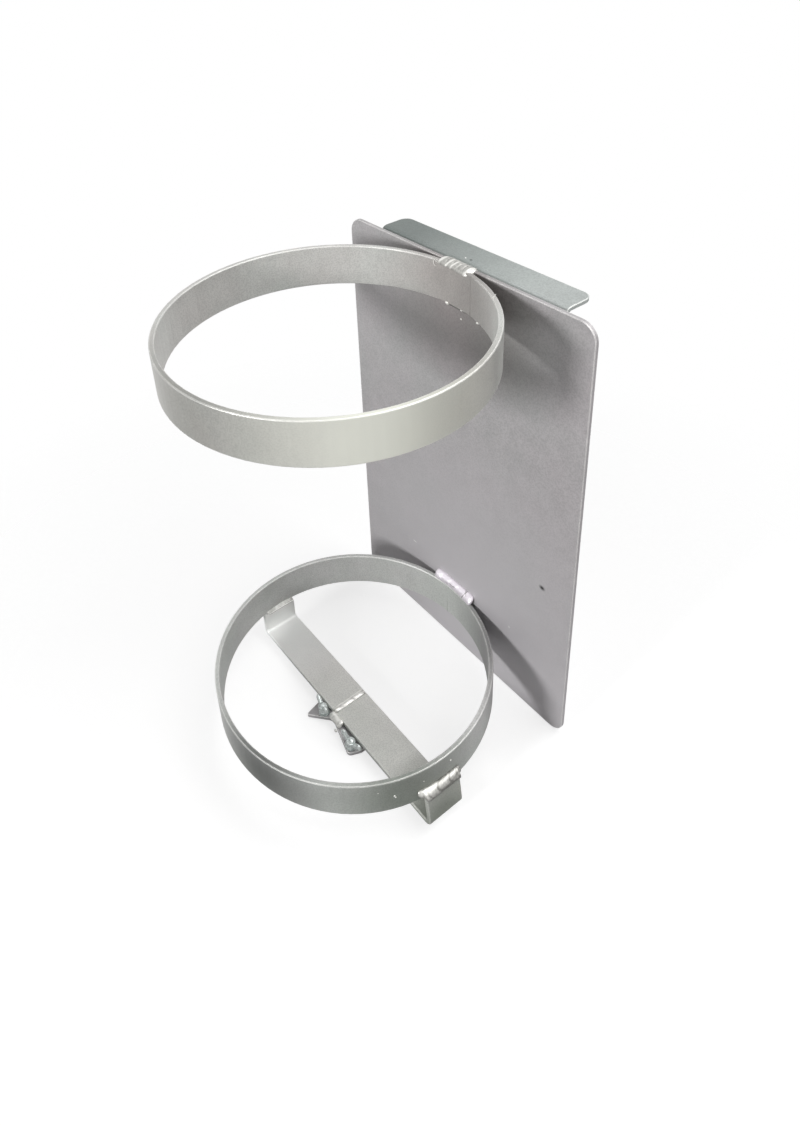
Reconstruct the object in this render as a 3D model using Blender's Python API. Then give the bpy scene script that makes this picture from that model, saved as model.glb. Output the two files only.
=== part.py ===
"""Gas cylinder bracket: two flat-bar hoops welded to a back plate with a hook, over a base strap.

Metres, +Z up. The hoops stand in front of the plate (-Y) and the hook reaches behind it (+Y).
The origin is on the floor below the middle of the overall box.
"""

from math import asin, atan, cos, hypot, pi, radians, sin, sqrt, tan

import bmesh
import bpy
from mathutils import Matrix, Vector

FIT_GAP = 0.0003

BAR_WIDTH = 0.025
BAR_THICKNESS = 0.003
BAR_EDGE_BREAK = 0.0004

HOOP_OUTER_DIAMETER = 0.178
HOOP_SEGMENTS = 96
HOOP_SEAM_WIDTH = 0.0003
UPPER_SEAM_X = 0.0175
LOWER_SEAM_X = -0.0045

PLATE_WIDTH = 0.195
PLATE_HEIGHT = 0.300
PLATE_THICKNESS = 0.0025
PLATE_CORNER_RADIUS = 0.010
SHEET_EDGE_BREAK = 0.0003

HOOK_WIDTH = 0.146
HOOK_SHIFT_X = 0.003
HOOK_REACH = 0.0215
HOOK_LEG_DROP = 0.025
HOOK_THICKNESS = 0.0025
HOOK_INNER_BEND = 0.0020
HOOK_CORNER_RADIUS = 0.006
HOOK_STEP_ABOVE_PLATE = 0.0004
HOOK_STITCH_LENGTH = 0.030
HOOK_STITCH_INSET = 0.016
HOOK_STITCH_WIDTH = 0.0027
HOOK_STITCH_HEIGHT = 0.0030

STRAP_SHIFT_Y = -0.0057
STRAP_DROP_BELOW_HOOP = 0.0155
STRAP_INNER_BEND = 0.0018
LEFT_LEG_STEP_IN = 0.0028
RIGHT_LEG_TOP_ABOVE_HOOP_EDGE = 0.0052
RIGHT_LEG_LEAN = radians(7.0)
BEND_STEPS = 6

FOOT_THICKNESS = 0.0025
FOOT_HEIGHT = 0.0072
FOOT_FOLD_X = 0.0025
FOOT_LEFT_EAR_LENGTH = 0.0200
FOOT_RIGHT_EAR_LENGTH = 0.0261
FOOT_LEFT_OVERHANG = 0.0131
FOOT_WAIST_OVERHANG = 0.0026
FOOT_RIGHT_OVERHANG = 0.0082
FOOT_LEFT_END_SKEW = 0.22
FOOT_RIGHT_END_SKEW = 0.41
FOOT_REAR_INSET = 0.0038
FOOT_CORNER_RADIUS = 0.0022
FOOT_FOLD_BLEND = 0.0025

STUD_DIAMETER = 0.0040
STUD_CHAMFER = 0.0005
STUD_PROUD_OF_NUT = 0.0010
STUD_RECESS = 0.0001
LEFT_STUD_INSET = 0.0113
RIGHT_STUD_INSET = 0.0064
WASHER_MARGIN = 0.0002
WASHER_THICKNESS = 0.0008
WING_NUT_WALL = 0.0007
WING_NUT_BASE_STEP = 0.0005
WING_NUT_BASE_HEIGHT = 0.0008
WING_NUT_TAPER_HEIGHT = 0.0016
WING_NUT_HUB_HEIGHT = 0.0050
WING_NUT_CHAMFER = 0.0004
WING_REACH = 0.00575
WING_RISE = 0.0031
WING_THICKNESS = 0.0030
WING_TIP_RADIUS = 0.0026
WING_EDGE_BREAK = 0.0008
LEFT_WING_TURN = radians(-13)
RIGHT_WING_TURN = radians(9)

BEAD_END_SHARE = 0.18
BEAD_NARROWING = 0.45
BEAD_STEPS_PER_RIPPLE = 5
BEAD_SECTION_STEPS = 6
WELD_SHORT_OF_EDGE = 0.0004
TOP_WELD_START_X = -0.0110
TOP_WELD_END_X = 0.0150
TOP_WELD_HEIGHT = 0.0021
TOP_WELD_PITCH = 0.0048
UNDER_WELD_START_X = -0.0040
UNDER_WELD_END_X = 0.0270
UNDER_WELD_HEIGHT = 0.0025
UNDER_WELD_PITCH = 0.0060
LOWER_WELD_START_X = -0.0165
LOWER_WELD_END_X = 0.0195
LOWER_WELD_HEIGHT = 0.0032
LOWER_WELD_PITCH = 0.0048
RIDGE_WIDTH = 0.0046
RIDGE_HEIGHT = 0.0015
RIDGE_PITCH = 0.0062
RIDGE_ROOT = 0.0010
LEFT_LEG_WELD_WIDTH = 0.0012
LEFT_LEG_WELD_HEIGHT = 0.0022
LEFT_LEG_WELD_PITCH = 0.0045
LEFT_LEG_WELD_START_INSET = 0.0030
RIGHT_LEG_WELD_HEIGHT = 0.0042
RIGHT_LEG_WELD_PITCH = 0.0058
RIGHT_LEG_WELD_OVERHANG = 0.0030
WAIST_WELD_START_X = -0.0008
WAIST_WELD_END_X = 0.0112
WAIST_WELD_WIDTH = 0.0030
WAIST_WELD_HEIGHT = 0.0030
WAIST_WELD_PITCH = 0.0060
HOOK_STITCH_PITCH = 0.0050

HOOP_OUTER_RADIUS = HOOP_OUTER_DIAMETER / 2
HOOP_INNER_RADIUS = HOOP_OUTER_RADIUS - BAR_THICKNESS
OVERALL_DEPTH = HOOP_OUTER_DIAMETER + FIT_GAP + PLATE_THICKNESS + HOOK_REACH
HOOP_Y = HOOP_OUTER_RADIUS - OVERALL_DEPTH / 2
PLATE_FRONT_Y = HOOP_Y + HOOP_OUTER_RADIUS + FIT_GAP
PLATE_BACK_Y = PLATE_FRONT_Y + PLATE_THICKNESS
UPPER_HOOP_Z = PLATE_HEIGHT - BAR_WIDTH
STRAP_UNDER_Z = FOOT_HEIGHT + FIT_GAP
STRAP_TOP_Z = STRAP_UNDER_Z + BAR_THICKNESS
LOWER_HOOP_Z = STRAP_TOP_Z + STRAP_DROP_BELOW_HOOP
STRAP_FRONT_Y = HOOP_Y + STRAP_SHIFT_Y - BAR_WIDTH / 2
STRAP_BACK_Y = STRAP_FRONT_Y + BAR_WIDTH
FOOT_LEFT_X = FOOT_FOLD_X - FOOT_LEFT_EAR_LENGTH
FOOT_RIGHT_X = FOOT_FOLD_X + FOOT_RIGHT_EAR_LENGTH
BORE_RADIUS = STUD_DIAMETER / 2 + FIT_GAP
NUT_NECK_RADIUS = BORE_RADIUS + WING_NUT_WALL
NUT_BASE_RADIUS = NUT_NECK_RADIUS + WING_NUT_BASE_STEP
STUD_LINE_Y = STRAP_FRONT_Y - NUT_BASE_RADIUS - FIT_GAP
LEFT_STUD_X = FOOT_LEFT_X + LEFT_STUD_INSET
RIGHT_STUD_X = FOOT_RIGHT_X - RIGHT_STUD_INSET


def clear_scene():
    for thing in list(bpy.data.objects):
        bpy.data.objects.remove(thing, do_unlink=True)


def steel(name, colour, roughness):
    """A plain metal finish; the colour is sRGB, 0 to 255."""
    finish = bpy.data.materials.get(name) or bpy.data.materials.new(name)
    finish.use_nodes = True
    shader = finish.node_tree.nodes["Principled BSDF"]
    linear = [((c / 255 + 0.055) / 1.055) ** 2.4 for c in colour]
    shader.inputs["Base Color"].default_value = (*linear, 1.0)
    shader.inputs["Roughness"].default_value = roughness
    shader.inputs["Metallic"].default_value = 1.0
    finish.diffuse_color = (*linear, 1.0)
    return finish


def coated_sheet():
    return steel("Satin coated sheet steel", (160, 155, 158), 0.50)


def coated_bar():
    return steel("Satin coated flat bar", (156, 158, 154), 0.46)


def weld_metal():
    return steel("Bright weld metal", (214, 212, 210), 0.34)


def zinc_plate():
    return steel("Blue zinc plate", (176, 190, 194), 0.27)


def add_object(name, bm, finish, smooth_angle=None):
    """Turns an edited mesh into a scene object with outward faces."""
    bmesh.ops.recalc_face_normals(bm, faces=bm.faces)
    mesh = bpy.data.meshes.new(name)
    bm.to_mesh(mesh)
    bm.free()
    if smooth_angle is not None:
        mesh.shade_smooth()
        mesh.set_sharp_from_angle(angle=smooth_angle)
    mesh.materials.append(finish)
    thing = bpy.data.objects.new(name, mesh)
    bpy.context.scene.collection.objects.link(thing)
    return thing


def polygon_prism(bm, outline, extrusion):
    """Extrudes a closed outline of points along a vector and returns the new faces."""
    face = bm.faces.new([bm.verts.new(point) for point in outline])
    swept = bmesh.ops.extrude_face_region(bm, geom=[face])["geom"]
    moved = [item for item in swept if isinstance(item, bmesh.types.BMVert)]
    bmesh.ops.translate(bm, verts=moved, vec=extrusion)
    return face, next(item for item in swept if isinstance(item, bmesh.types.BMFace))


def break_edges_of(bm, faces, width):
    """Takes the sharp corner off the rim of the given faces."""
    rim = {edge for face in faces for edge in face.edges}
    bmesh.ops.bevel(bm, geom=list(rim), offset=width, segments=1, affect="EDGES", clamp_overlap=True)


def arc(centre_a, centre_b, radius, start, end, steps):
    """Points on a circular arc in a plane, both ends included."""
    angles = [start + (end - start) * i / steps for i in range(steps + 1)]
    return [(centre_a + radius * cos(t), centre_b + radius * sin(t)) for t in angles]


def rounded_rectangle(left, right, low, high, radius, steps):
    """Outline points of a rectangle with round corners, anticlockwise from the low right one."""
    corners = [(right - radius, low + radius), (right - radius, high - radius),
               (left + radius, high - radius), (left + radius, low + radius)]
    outline = []
    for index, (a, b) in enumerate(corners):
        start = (index - 1) * pi / 2
        outline += arc(a, b, radius, start, start + pi / 2, steps)
    return outline


def hoop(name, base_z, seam_x):
    """Flat bar rolled into a hoop, edges slightly broken, with a butt seam near the plate."""
    inner, outer = HOOP_INNER_RADIUS, HOOP_OUTER_RADIUS
    low, high, cut = base_z, base_z + BAR_WIDTH, BAR_EDGE_BREAK
    section = [(inner + cut, low), (outer - cut, low), (outer, low + cut), (outer, high - cut),
               (outer - cut, high), (inner + cut, high), (inner, high - cut), (inner, low + cut)]
    seam_angle = asin(seam_x / HOOP_OUTER_RADIUS)
    half_slit = HOOP_SEAM_WIDTH / HOOP_OUTER_RADIUS / 2
    bm = bmesh.new()
    ring = [bm.verts.new((0, radius, z)) for radius, z in section]
    edges = [bm.edges.new((ring[i], ring[(i + 1) % len(ring)])) for i in range(len(ring))]
    bmesh.ops.rotate(bm, verts=ring, cent=(0, 0, 0),
                     matrix=Matrix.Rotation(-seam_angle - half_slit, 3, "Z"))
    spun = bmesh.ops.spin(bm, geom=ring + edges, cent=(0, 0, 0), axis=(0, 0, 1),
                          angle=-(2 * pi - 2 * half_slit), steps=HOOP_SEGMENTS)
    bm.faces.new(ring)
    end_edges = [item for item in spun["geom_last"] if isinstance(item, bmesh.types.BMEdge)]
    bmesh.ops.contextual_create(bm, geom=end_edges)
    thing = add_object(name, bm, coated_bar(), radians(30))
    thing.location.y = HOOP_Y
    return thing


def back_plate():
    half = PLATE_WIDTH / 2
    outline = rounded_rectangle(-half, half, 0, PLATE_HEIGHT, PLATE_CORNER_RADIUS, 8)
    bm = bmesh.new()
    near, far = polygon_prism(bm, [(x, 0, z) for x, z in outline], (0, PLATE_THICKNESS, 0))
    break_edges_of(bm, (near, far), SHEET_EDGE_BREAK)
    thing = add_object("back_plate", bm, coated_sheet(), radians(30))
    thing.location.y = PLATE_FRONT_Y
    return thing


def unit(vector):
    length = hypot(*vector)
    return (vector[0] / length, vector[1] / length)


def bent_strip(centreline, thickness, inner_bend):
    """Outline of a strip folded at each inner point of its centreline, with round bends."""
    headings = [unit((b[0] - a[0], b[1] - a[1])) for a, b in zip(centreline, centreline[1:])]
    half, radius = thickness / 2, inner_bend + thickness / 2
    left, right = [], []

    def add_pair(point, normal, reach_left, reach_right):
        left.append((point[0] + normal[0] * reach_left, point[1] + normal[1] * reach_left))
        right.append((point[0] + normal[0] * reach_right, point[1] + normal[1] * reach_right))

    add_pair(centreline[0], (-headings[0][1], headings[0][0]), half, -half)
    for corner, before, after in zip(centreline[1:], headings, headings[1:]):
        cross = before[0] * after[1] - before[1] * after[0]
        turn = 2 * atan(cross / (1 + before[0] * after[0] + before[1] * after[1]))
        side = 1 if turn > 0 else -1
        setback = radius * abs(tan(turn / 2))
        normal = (-before[1], before[0])
        centre = (corner[0] - before[0] * setback + side * normal[0] * radius,
                  corner[1] - before[1] * setback + side * normal[1] * radius)
        for step in range(BEND_STEPS + 1):
            angle = turn * step / BEND_STEPS
            spoke = (-side * (normal[0] * cos(angle) - normal[1] * sin(angle)),
                     -side * (normal[0] * sin(angle) + normal[1] * cos(angle)))
            add_pair(centre, spoke, radius - side * half, radius + side * half)
    add_pair(centreline[-1], (-headings[-1][1], headings[-1][0]), half, -half)
    return left + right[::-1]


def top_hook():
    """Angle folded from sheet: one leg down the back of the plate, the other reaching back."""
    half = HOOK_THICKNESS / 2
    top = PLATE_HEIGHT + HOOK_STEP_ABOVE_PLATE
    front, rear = PLATE_BACK_Y + FIT_GAP, PLATE_BACK_Y + HOOK_REACH
    centreline = [(rear, top - half), (front + half, top - half), (front + half, top - HOOK_LEG_DROP)]
    outline = bent_strip(centreline, HOOK_THICKNESS, HOOK_INNER_BEND)
    bm = bmesh.new()
    polygon_prism(bm, [(-HOOK_WIDTH / 2, y, z) for y, z in outline], (HOOK_WIDTH, 0, 0))
    upright_corners = [edge for edge in bm.edges
                       if all(abs(v.co.y - rear) < 1e-6 for v in edge.verts)
                       and abs(edge.verts[0].co.z - edge.verts[1].co.z) > half]
    bmesh.ops.bevel(bm, geom=upright_corners, offset=HOOK_CORNER_RADIUS, segments=6, affect="EDGES",
                    profile=0.5)
    thing = add_object("top_hook", bm, coated_sheet(), radians(30))
    thing.location.x = HOOK_SHIFT_X
    edge_break = thing.modifiers.new("Broken edges", "BEVEL")
    edge_break.width = SHEET_EDGE_BREAK
    edge_break.segments = 1
    edge_break.limit_method = "ANGLE"
    edge_break.angle_limit = radians(60)
    return thing


def with_weld_bevel(outline):
    """Bevels the strap's upper corner at the middle seam, where the butt weld's root goes."""
    seam_x = min(abs(x) for x, z in outline)
    bevelled = []
    for x, z in outline:
        if abs(x) > seam_x + FIT_GAP / 10 or z < STRAP_TOP_Z - FIT_GAP / 10:
            bevelled.append((x, z))
            continue
        side = 1 if x > 0 else -1
        pair = [(x, z - RIDGE_ROOT), (side * (RIDGE_WIDTH / 2 + FIT_GAP), z)]
        bevelled += pair if side > 0 else pair[::-1]
    return bevelled


def strap_piece(name, centreline):
    """One folded length of flat bar, lying across the bottom of the lower hoop."""
    outline = with_weld_bevel(bent_strip(centreline, BAR_THICKNESS, STRAP_INNER_BEND))
    bm = bmesh.new()
    near, far = polygon_prism(bm, [(x, STRAP_FRONT_Y, z) for x, z in outline], (0, BAR_WIDTH, 0))
    break_edges_of(bm, (near, far), BAR_EDGE_BREAK)
    return add_object(name, bm, coated_bar(), radians(30))


def left_leg_inner_face():
    """Distance from the hoop's centre line to the inner face of the left leg."""
    return HOOP_INNER_RADIUS - LEFT_LEG_STEP_IN


def strap_left():
    """Runs from the middle seam to an upright leg under the lower hoop's edge."""
    leg_x = -left_leg_inner_face() - BAR_THICKNESS / 2
    leg_top = LOWER_HOOP_Z - FIT_GAP
    level = STRAP_TOP_Z - BAR_THICKNESS / 2
    return strap_piece("strap_left", [(leg_x, leg_top), (leg_x, level), (-FIT_GAP / 2, level)])


def right_leg_top():
    """Inner top corner of the right leg, just clear of the hoop's outer face."""
    return HOOP_OUTER_RADIUS + FIT_GAP, LOWER_HOOP_Z + RIGHT_LEG_TOP_ABOVE_HOOP_EDGE


def strap_right():
    """Passes under the lower hoop, turns up outside it and leans back against its wall."""
    inner_x, inner_z = right_leg_top()
    half = BAR_THICKNESS / 2
    top = (inner_x + half * cos(RIGHT_LEG_LEAN), inner_z + half * sin(RIGHT_LEG_LEAN))
    level = STRAP_TOP_Z - half
    corner = (top[0] + (top[1] - level) * tan(RIGHT_LEG_LEAN), level)
    return strap_piece("strap_right", [(FIT_GAP / 2, level), corner, top])


def ear_length(side, y):
    """From the fold to an ear's end at a given y; in front of the strap the end runs oblique."""
    if side == "left":
        length, skew = FOOT_LEFT_EAR_LENGTH, FOOT_LEFT_END_SKEW
    else:
        length, skew = FOOT_RIGHT_EAR_LENGTH, FOOT_RIGHT_END_SKEW
    return length - skew * max(STRAP_FRONT_Y - y, 0.0)


def ear_slope(side, y):
    """Fall of an ear, so that its lower end edge meets the floor."""
    return (FOOT_HEIGHT - FOOT_THICKNESS) / (ear_length(side, y) - FOOT_FOLD_BLEND / 2)


def foot_top_z(side, reach, y):
    """Height of the folded foot's upper face, with the fold's crown rounded off."""
    slope = ear_slope(side, y)
    if reach < FOOT_FOLD_BLEND:
        return FOOT_HEIGHT - slope * reach * reach / (2 * FOOT_FOLD_BLEND)
    return FOOT_HEIGHT - slope * (reach - FOOT_FOLD_BLEND / 2)


def foot_front_y(side, share):
    """Front edge of the foot: it flares forward from the waist to each ear's round corner."""
    overhang = FOOT_LEFT_OVERHANG if side == "left" else FOOT_RIGHT_OVERHANG
    y = STRAP_FRONT_Y - FOOT_WAIST_OVERHANG - share * (overhang - FOOT_WAIST_OVERHANG)
    radius = FOOT_CORNER_RADIUS
    inset = (1 - share) * ear_length(side, y)
    if inset < radius:
        y += radius - sqrt(max(radius * radius - (radius - inset) ** 2, 0.0))
    return y


def foot_section(side, share):
    """Six points round the foot at one share of an ear's length: under side to the rear, top back."""
    direction = -1 if side == "left" else 1
    front, rear = foot_front_y(side, share), STRAP_BACK_Y - FOOT_REAR_INSET
    under, over = [], []
    for y in (front, STRAP_FRONT_Y, rear):
        reach = share * ear_length(side, y)
        top = foot_top_z(side, reach, y)
        x = FOOT_FOLD_X + direction * reach
        under.append((x, y, top - FOOT_THICKNESS))
        over.append((x, y, top))
    return under + over[::-1]


def foot_plate():
    """Offcut of sheet folded to a shallow roof; its lower edges stand on the floor."""
    corner = [FOOT_CORNER_RADIUS * (1 - cos(pi / 2 * i / 4)) for i in range(5)]
    sections = []
    for side in ("left", "right"):
        length = ear_length(side, STRAP_FRONT_Y)
        shares = [FOOT_FOLD_BLEND / length * i / 2 for i in (1, 2)]
        shares += [1 - inset / length for inset in reversed(corner)]
        ear = [foot_section(side, share) for share in shares]
        sections = ear[::-1] + [foot_section(side, 0)] if side == "left" else sections + ear
    bm = bmesh.new()
    rows = [[bm.verts.new(point) for point in section] for section in sections]
    for row, following in zip(rows, rows[1:]):
        for i in range(6):
            bm.faces.new((row[i], row[(i + 1) % 6], following[(i + 1) % 6], following[i]))
    for a, b, c, d, e, f in (rows[0], rows[-1]):
        bm.faces.new((a, b, e, f))
        bm.faces.new((b, c, d, e))
    thing = add_object("foot_plate", bm, coated_sheet(), radians(30))
    for side, x in (("left", LEFT_STUD_X), ("right", RIGHT_STUD_X)):
        cutter = stud_hole_cutter(side, x)
        hole = thing.modifiers.new(side + " stud hole", "BOOLEAN")
        hole.operation = "DIFFERENCE"
        hole.object = cutter
    return thing


def stud_frame(x):
    """Matrix of a stud: origin on the ear's upper face, +Z square to that face."""
    side = "left" if x < FOOT_FOLD_X else "right"
    lean = atan(ear_slope(side, STUD_LINE_Y))
    if side == "left":
        lean = -lean
    seat = Vector((x, STUD_LINE_Y, foot_top_z(side, abs(x - FOOT_FOLD_X), STUD_LINE_Y)))
    return Matrix.Translation(seat) @ Matrix.Rotation(lean, 4, "Y")


def turned(bm, profile, segments):
    """Revolves an open or closed (radius, z) profile about +Z into a closed body."""
    points = [bm.verts.new((radius, 0, z)) for radius, z in profile]
    pairs = list(zip(points, points[1:]))
    if profile[0][0] > 0:
        pairs.append((points[-1], points[0]))
    edges = [bm.edges.new(pair) for pair in pairs]
    bmesh.ops.spin(bm, geom=points + edges, cent=(0, 0, 0), axis=(0, 0, 1), angle=2 * pi,
                   steps=segments, use_merge=True)
    bmesh.ops.remove_doubles(bm, verts=bm.verts, dist=1e-7)


def hide_guide(thing):
    """Keeps a cutter or a shape to be joined out of renders, as a wire guide."""
    thing.hide_render = True
    thing.display_type = "WIRE"


def stud_hole_cutter(side, x):
    bm = bmesh.new()
    bmesh.ops.create_cone(bm, cap_ends=True, segments=24, radius1=BORE_RADIUS, radius2=BORE_RADIUS,
                          depth=6 * FOOT_THICKNESS)
    cutter = add_object(side + "_stud_hole_cutter", bm, coated_sheet())
    cutter.matrix_world = stud_frame(x)
    hide_guide(cutter)
    return cutter


def stud(side, x):
    """Plain stud through the ear, its lower end level with the ear's underside."""
    top = nut_seat() + WING_NUT_HUB_HEIGHT + STUD_PROUD_OF_NUT
    low = STUD_RECESS - FOOT_THICKNESS
    radius = STUD_DIAMETER / 2
    profile = [(0, low), (radius, low), (radius, top - STUD_CHAMFER), (radius - STUD_CHAMFER, top),
               (0, top)]
    bm = bmesh.new()
    turned(bm, profile, 16)
    thing = add_object(side + "_stud", bm, zinc_plate(), radians(40))
    thing.matrix_world = stud_frame(x)
    return thing


def washer(side, x):
    rim = NUT_BASE_RADIUS + WASHER_MARGIN
    low, high = FIT_GAP, FIT_GAP + WASHER_THICKNESS
    bm = bmesh.new()
    turned(bm, [(BORE_RADIUS, low), (rim, low), (rim, high), (BORE_RADIUS, high)], 24)
    thing = add_object(side + "_washer", bm, zinc_plate(), radians(40))
    thing.matrix_world = stud_frame(x)
    return thing


def nut_seat():
    """Height of the wing nut's base above the ear."""
    return FIT_GAP + WASHER_THICKNESS + FIT_GAP


def wing_outline():
    """Side view of one wing, (radius, height), rising outward to a round tip."""
    root = NUT_NECK_RADIUS - FIT_GAP / 2
    tip_a = NUT_NECK_RADIUS + WING_REACH - WING_TIP_RADIUS
    tip_b = WING_NUT_HUB_HEIGHT + WING_RISE - WING_TIP_RADIUS
    tip = arc(tip_a, tip_b, WING_TIP_RADIUS, radians(-35), radians(150), 7)
    low, high = WING_NUT_BASE_HEIGHT, WING_NUT_HUB_HEIGHT - WING_NUT_CHAMFER
    return [(root, low), (root + WING_NUT_BASE_STEP, low)] + tip + [(root, high)]


def wing_nut(side, x, turn):
    """Hub with a clearance bore and two cast wings."""
    top, taper_top = WING_NUT_HUB_HEIGHT, WING_NUT_BASE_HEIGHT + WING_NUT_TAPER_HEIGHT
    profile = [(BORE_RADIUS, 0), (NUT_BASE_RADIUS, 0), (NUT_BASE_RADIUS, WING_NUT_BASE_HEIGHT),
               (NUT_NECK_RADIUS, taper_top), (NUT_NECK_RADIUS, top - WING_NUT_CHAMFER),
               (NUT_NECK_RADIUS - WING_NUT_CHAMFER, top), (BORE_RADIUS, top)]
    bm = bmesh.new()
    turned(bm, profile, 24)
    nut = add_object(side + "_wing_nut", bm, zinc_plate(), radians(35))
    seat = Matrix.Translation((0, 0, nut_seat()))
    nut.matrix_world = stud_frame(x) @ seat @ Matrix.Rotation(turn, 4, "Z")
    for index, half_turn in enumerate((0.0, pi)):
        wing_bm = bmesh.new()
        outline = [(a, -WING_THICKNESS / 2, b) for a, b in wing_outline()]
        near, far = polygon_prism(wing_bm, outline, (0, WING_THICKNESS, 0))
        break_edges_of(wing_bm, (near, far), WING_EDGE_BREAK)
        wing = add_object(f"{side}_wing_guide_{index + 1}", wing_bm, zinc_plate())
        wing.matrix_world = nut.matrix_world @ Matrix.Rotation(half_turn, 4, "Z")
        hide_guide(wing)
        join = nut.modifiers.new(f"Wing {index + 1}", "BOOLEAN")
        join.operation = "UNION"
        join.object = wing
    return nut


def dome_section(width, height, steps):
    """Half-ellipse with a flat seat, as (across, up) points."""
    return [(-width / 2 * cos(pi * i / steps), height * sin(pi * i / steps)) for i in range(steps + 1)]


def butt_section(width, height, steps):
    """Low dome over a V-shaped root that fills the bevels of the two edges it joins."""
    root = RIDGE_ROOT * (1 - 2 * FIT_GAP / RIDGE_WIDTH)
    return dome_section(width, height, steps) + [(0.0, -root)]


def fillet_section(width, height, steps):
    """Full corner fillet: square corner at the root, convex face."""
    face = [(width * cos(pi / 2 * i / steps), height * sin(pi / 2 * i / steps)) for i in range(steps + 1)]
    return [(0.0, 0.0)] + face


def ripple(distance, length, pitch, depth, end_round):
    """Relative size of a bead at a distance along it: scallops of one pitch, and rounded ends."""
    phase = (distance / pitch) % 1.0
    share = 1.0 - depth * (2 * phase - 1) ** 2
    margin = max(min(distance, length - distance), 0.0)
    if margin < end_round:
        share *= max(sqrt(1 - (1 - margin / end_round) ** 2), BEAD_END_SHARE)
    return share


def bead(name, span, scallops, seat, across, up, size, section, end_round=0.0025):
    """A weld bead laid along one coordinate s, over span = (start, end).

    scallops is (pitch, depth). seat(s) gives the root point and size(s) the width and height;
    across and up are the directions of the section's two coordinates.
    """
    start, end = span
    pitch, depth = scallops
    length = end - start
    count = max(int(round(length / pitch * BEAD_STEPS_PER_RIPPLE)), BEAD_STEPS_PER_RIPPLE)
    side, rise = Vector(across), Vector(up)
    bm = bmesh.new()
    rows = []
    for i in range(count + 1):
        s = start + length * i / count
        share = ripple(s - start, length, pitch, depth, end_round)
        width, height = size(s)
        root = Vector(seat(s))
        points = section(width * (1 - BEAD_NARROWING * (1 - share)), height * share, BEAD_SECTION_STEPS)
        rows.append([bm.verts.new(root + side * a + rise * b) for a, b in points])
    for row, following in zip(rows, rows[1:]):
        for j in range(len(row)):
            k = (j + 1) % len(row)
            bm.faces.new((row[j], row[k], following[k], following[j]))
    bm.faces.new(rows[0][::-1])
    bm.faces.new(rows[-1])
    return add_object(name, bm, weld_metal(), radians(50))


def gap_behind_hoop(x):
    """Distance from the plate's front face to the hoop's outer wall at a given x."""
    return PLATE_FRONT_Y - HOOP_Y - sqrt(HOOP_OUTER_RADIUS ** 2 - x * x)


def upper_weld_top():
    """Rippled bead lying over the hoop's top edge and the plate's top edge."""
    rear = PLATE_BACK_Y - WELD_SHORT_OF_EDGE / 2

    def width(x):
        return rear - PLATE_FRONT_Y + gap_behind_hoop(x) + BAR_THICKNESS - WELD_SHORT_OF_EDGE

    return bead("upper_hoop_weld_top", (TOP_WELD_START_X, TOP_WELD_END_X), (TOP_WELD_PITCH, 0.30),
                lambda x: (x, rear - width(x) / 2, PLATE_HEIGHT + FIT_GAP), (0, 1, 0), (0, 0, 1),
                lambda x: (width(x), TOP_WELD_HEIGHT), dome_section)


def plate_fillet(name, span, edge_z, rise, height, pitch):
    """Fillet between the plate's front face and one edge of a hoop; rise is 1 above, -1 below."""
    return bead(name, span, (pitch, 0.22), lambda x: (x, PLATE_FRONT_Y - FIT_GAP, edge_z + rise * FIT_GAP),
                (0, -1, 0), (0, 0, rise),
                lambda x: (gap_behind_hoop(x) + BAR_THICKNESS - WELD_SHORT_OF_EDGE, height), fillet_section)


def strap_ridge_weld():
    """Flattened butt weld that joins the two strap halves."""
    inset = BAR_EDGE_BREAK / 2
    return bead("strap_ridge_weld", (STRAP_FRONT_Y + inset, STRAP_BACK_Y - inset), (RIDGE_PITCH, 0.10),
                lambda y: (0.0, y, STRAP_TOP_Z + FIT_GAP), (1, 0, 0), (0, 0, 1),
                lambda y: (RIDGE_WIDTH, RIDGE_HEIGHT), butt_section, 0.0012)


def strap_left_weld():
    """Small fillet on the left leg's top edge, against the hoop's inner wall."""
    wall = HOOP_INNER_RADIUS - FIT_GAP

    def wall_x(y):
        return -sqrt(wall * wall - (y - HOOP_Y) ** 2)

    def size(y):
        reach = -left_leg_inner_face() + FIT_GAP - wall_x(y)
        return max(reach, LEFT_LEG_WELD_WIDTH), LEFT_LEG_WELD_HEIGHT

    span = (STRAP_FRONT_Y + LEFT_LEG_WELD_START_INSET, STRAP_BACK_Y - BAR_EDGE_BREAK)
    return bead("strap_left_weld", span, (LEFT_LEG_WELD_PITCH, 0.25),
                lambda y: (wall_x(y), y, LOWER_HOOP_Z + FIT_GAP), (1, 0, 0), (0, 0, 1),
                size, fillet_section, 0.0018)


def strap_right_weld():
    """Heavy fillet along the right leg's top edge, against the hoop's outer wall."""
    wall = HOOP_OUTER_RADIUS + FIT_GAP
    inner_x, leg_top_z = right_leg_top()
    outer_x = inner_x + BAR_THICKNESS - FIT_GAP

    def wall_x(y):
        return sqrt(wall * wall - (y - HOOP_Y) ** 2)

    span = (STRAP_FRONT_Y - RIGHT_LEG_WELD_OVERHANG, STRAP_BACK_Y + RIGHT_LEG_WELD_OVERHANG)
    return bead("strap_right_weld", span, (RIGHT_LEG_WELD_PITCH, 0.24),
                lambda y: (wall_x(y), y, leg_top_z + 3 * FIT_GAP), (1, 0, 0), (0, 0, 1),
                lambda y: (outer_x - wall_x(y), RIGHT_LEG_WELD_HEIGHT), fillet_section, 0.0040)


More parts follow.
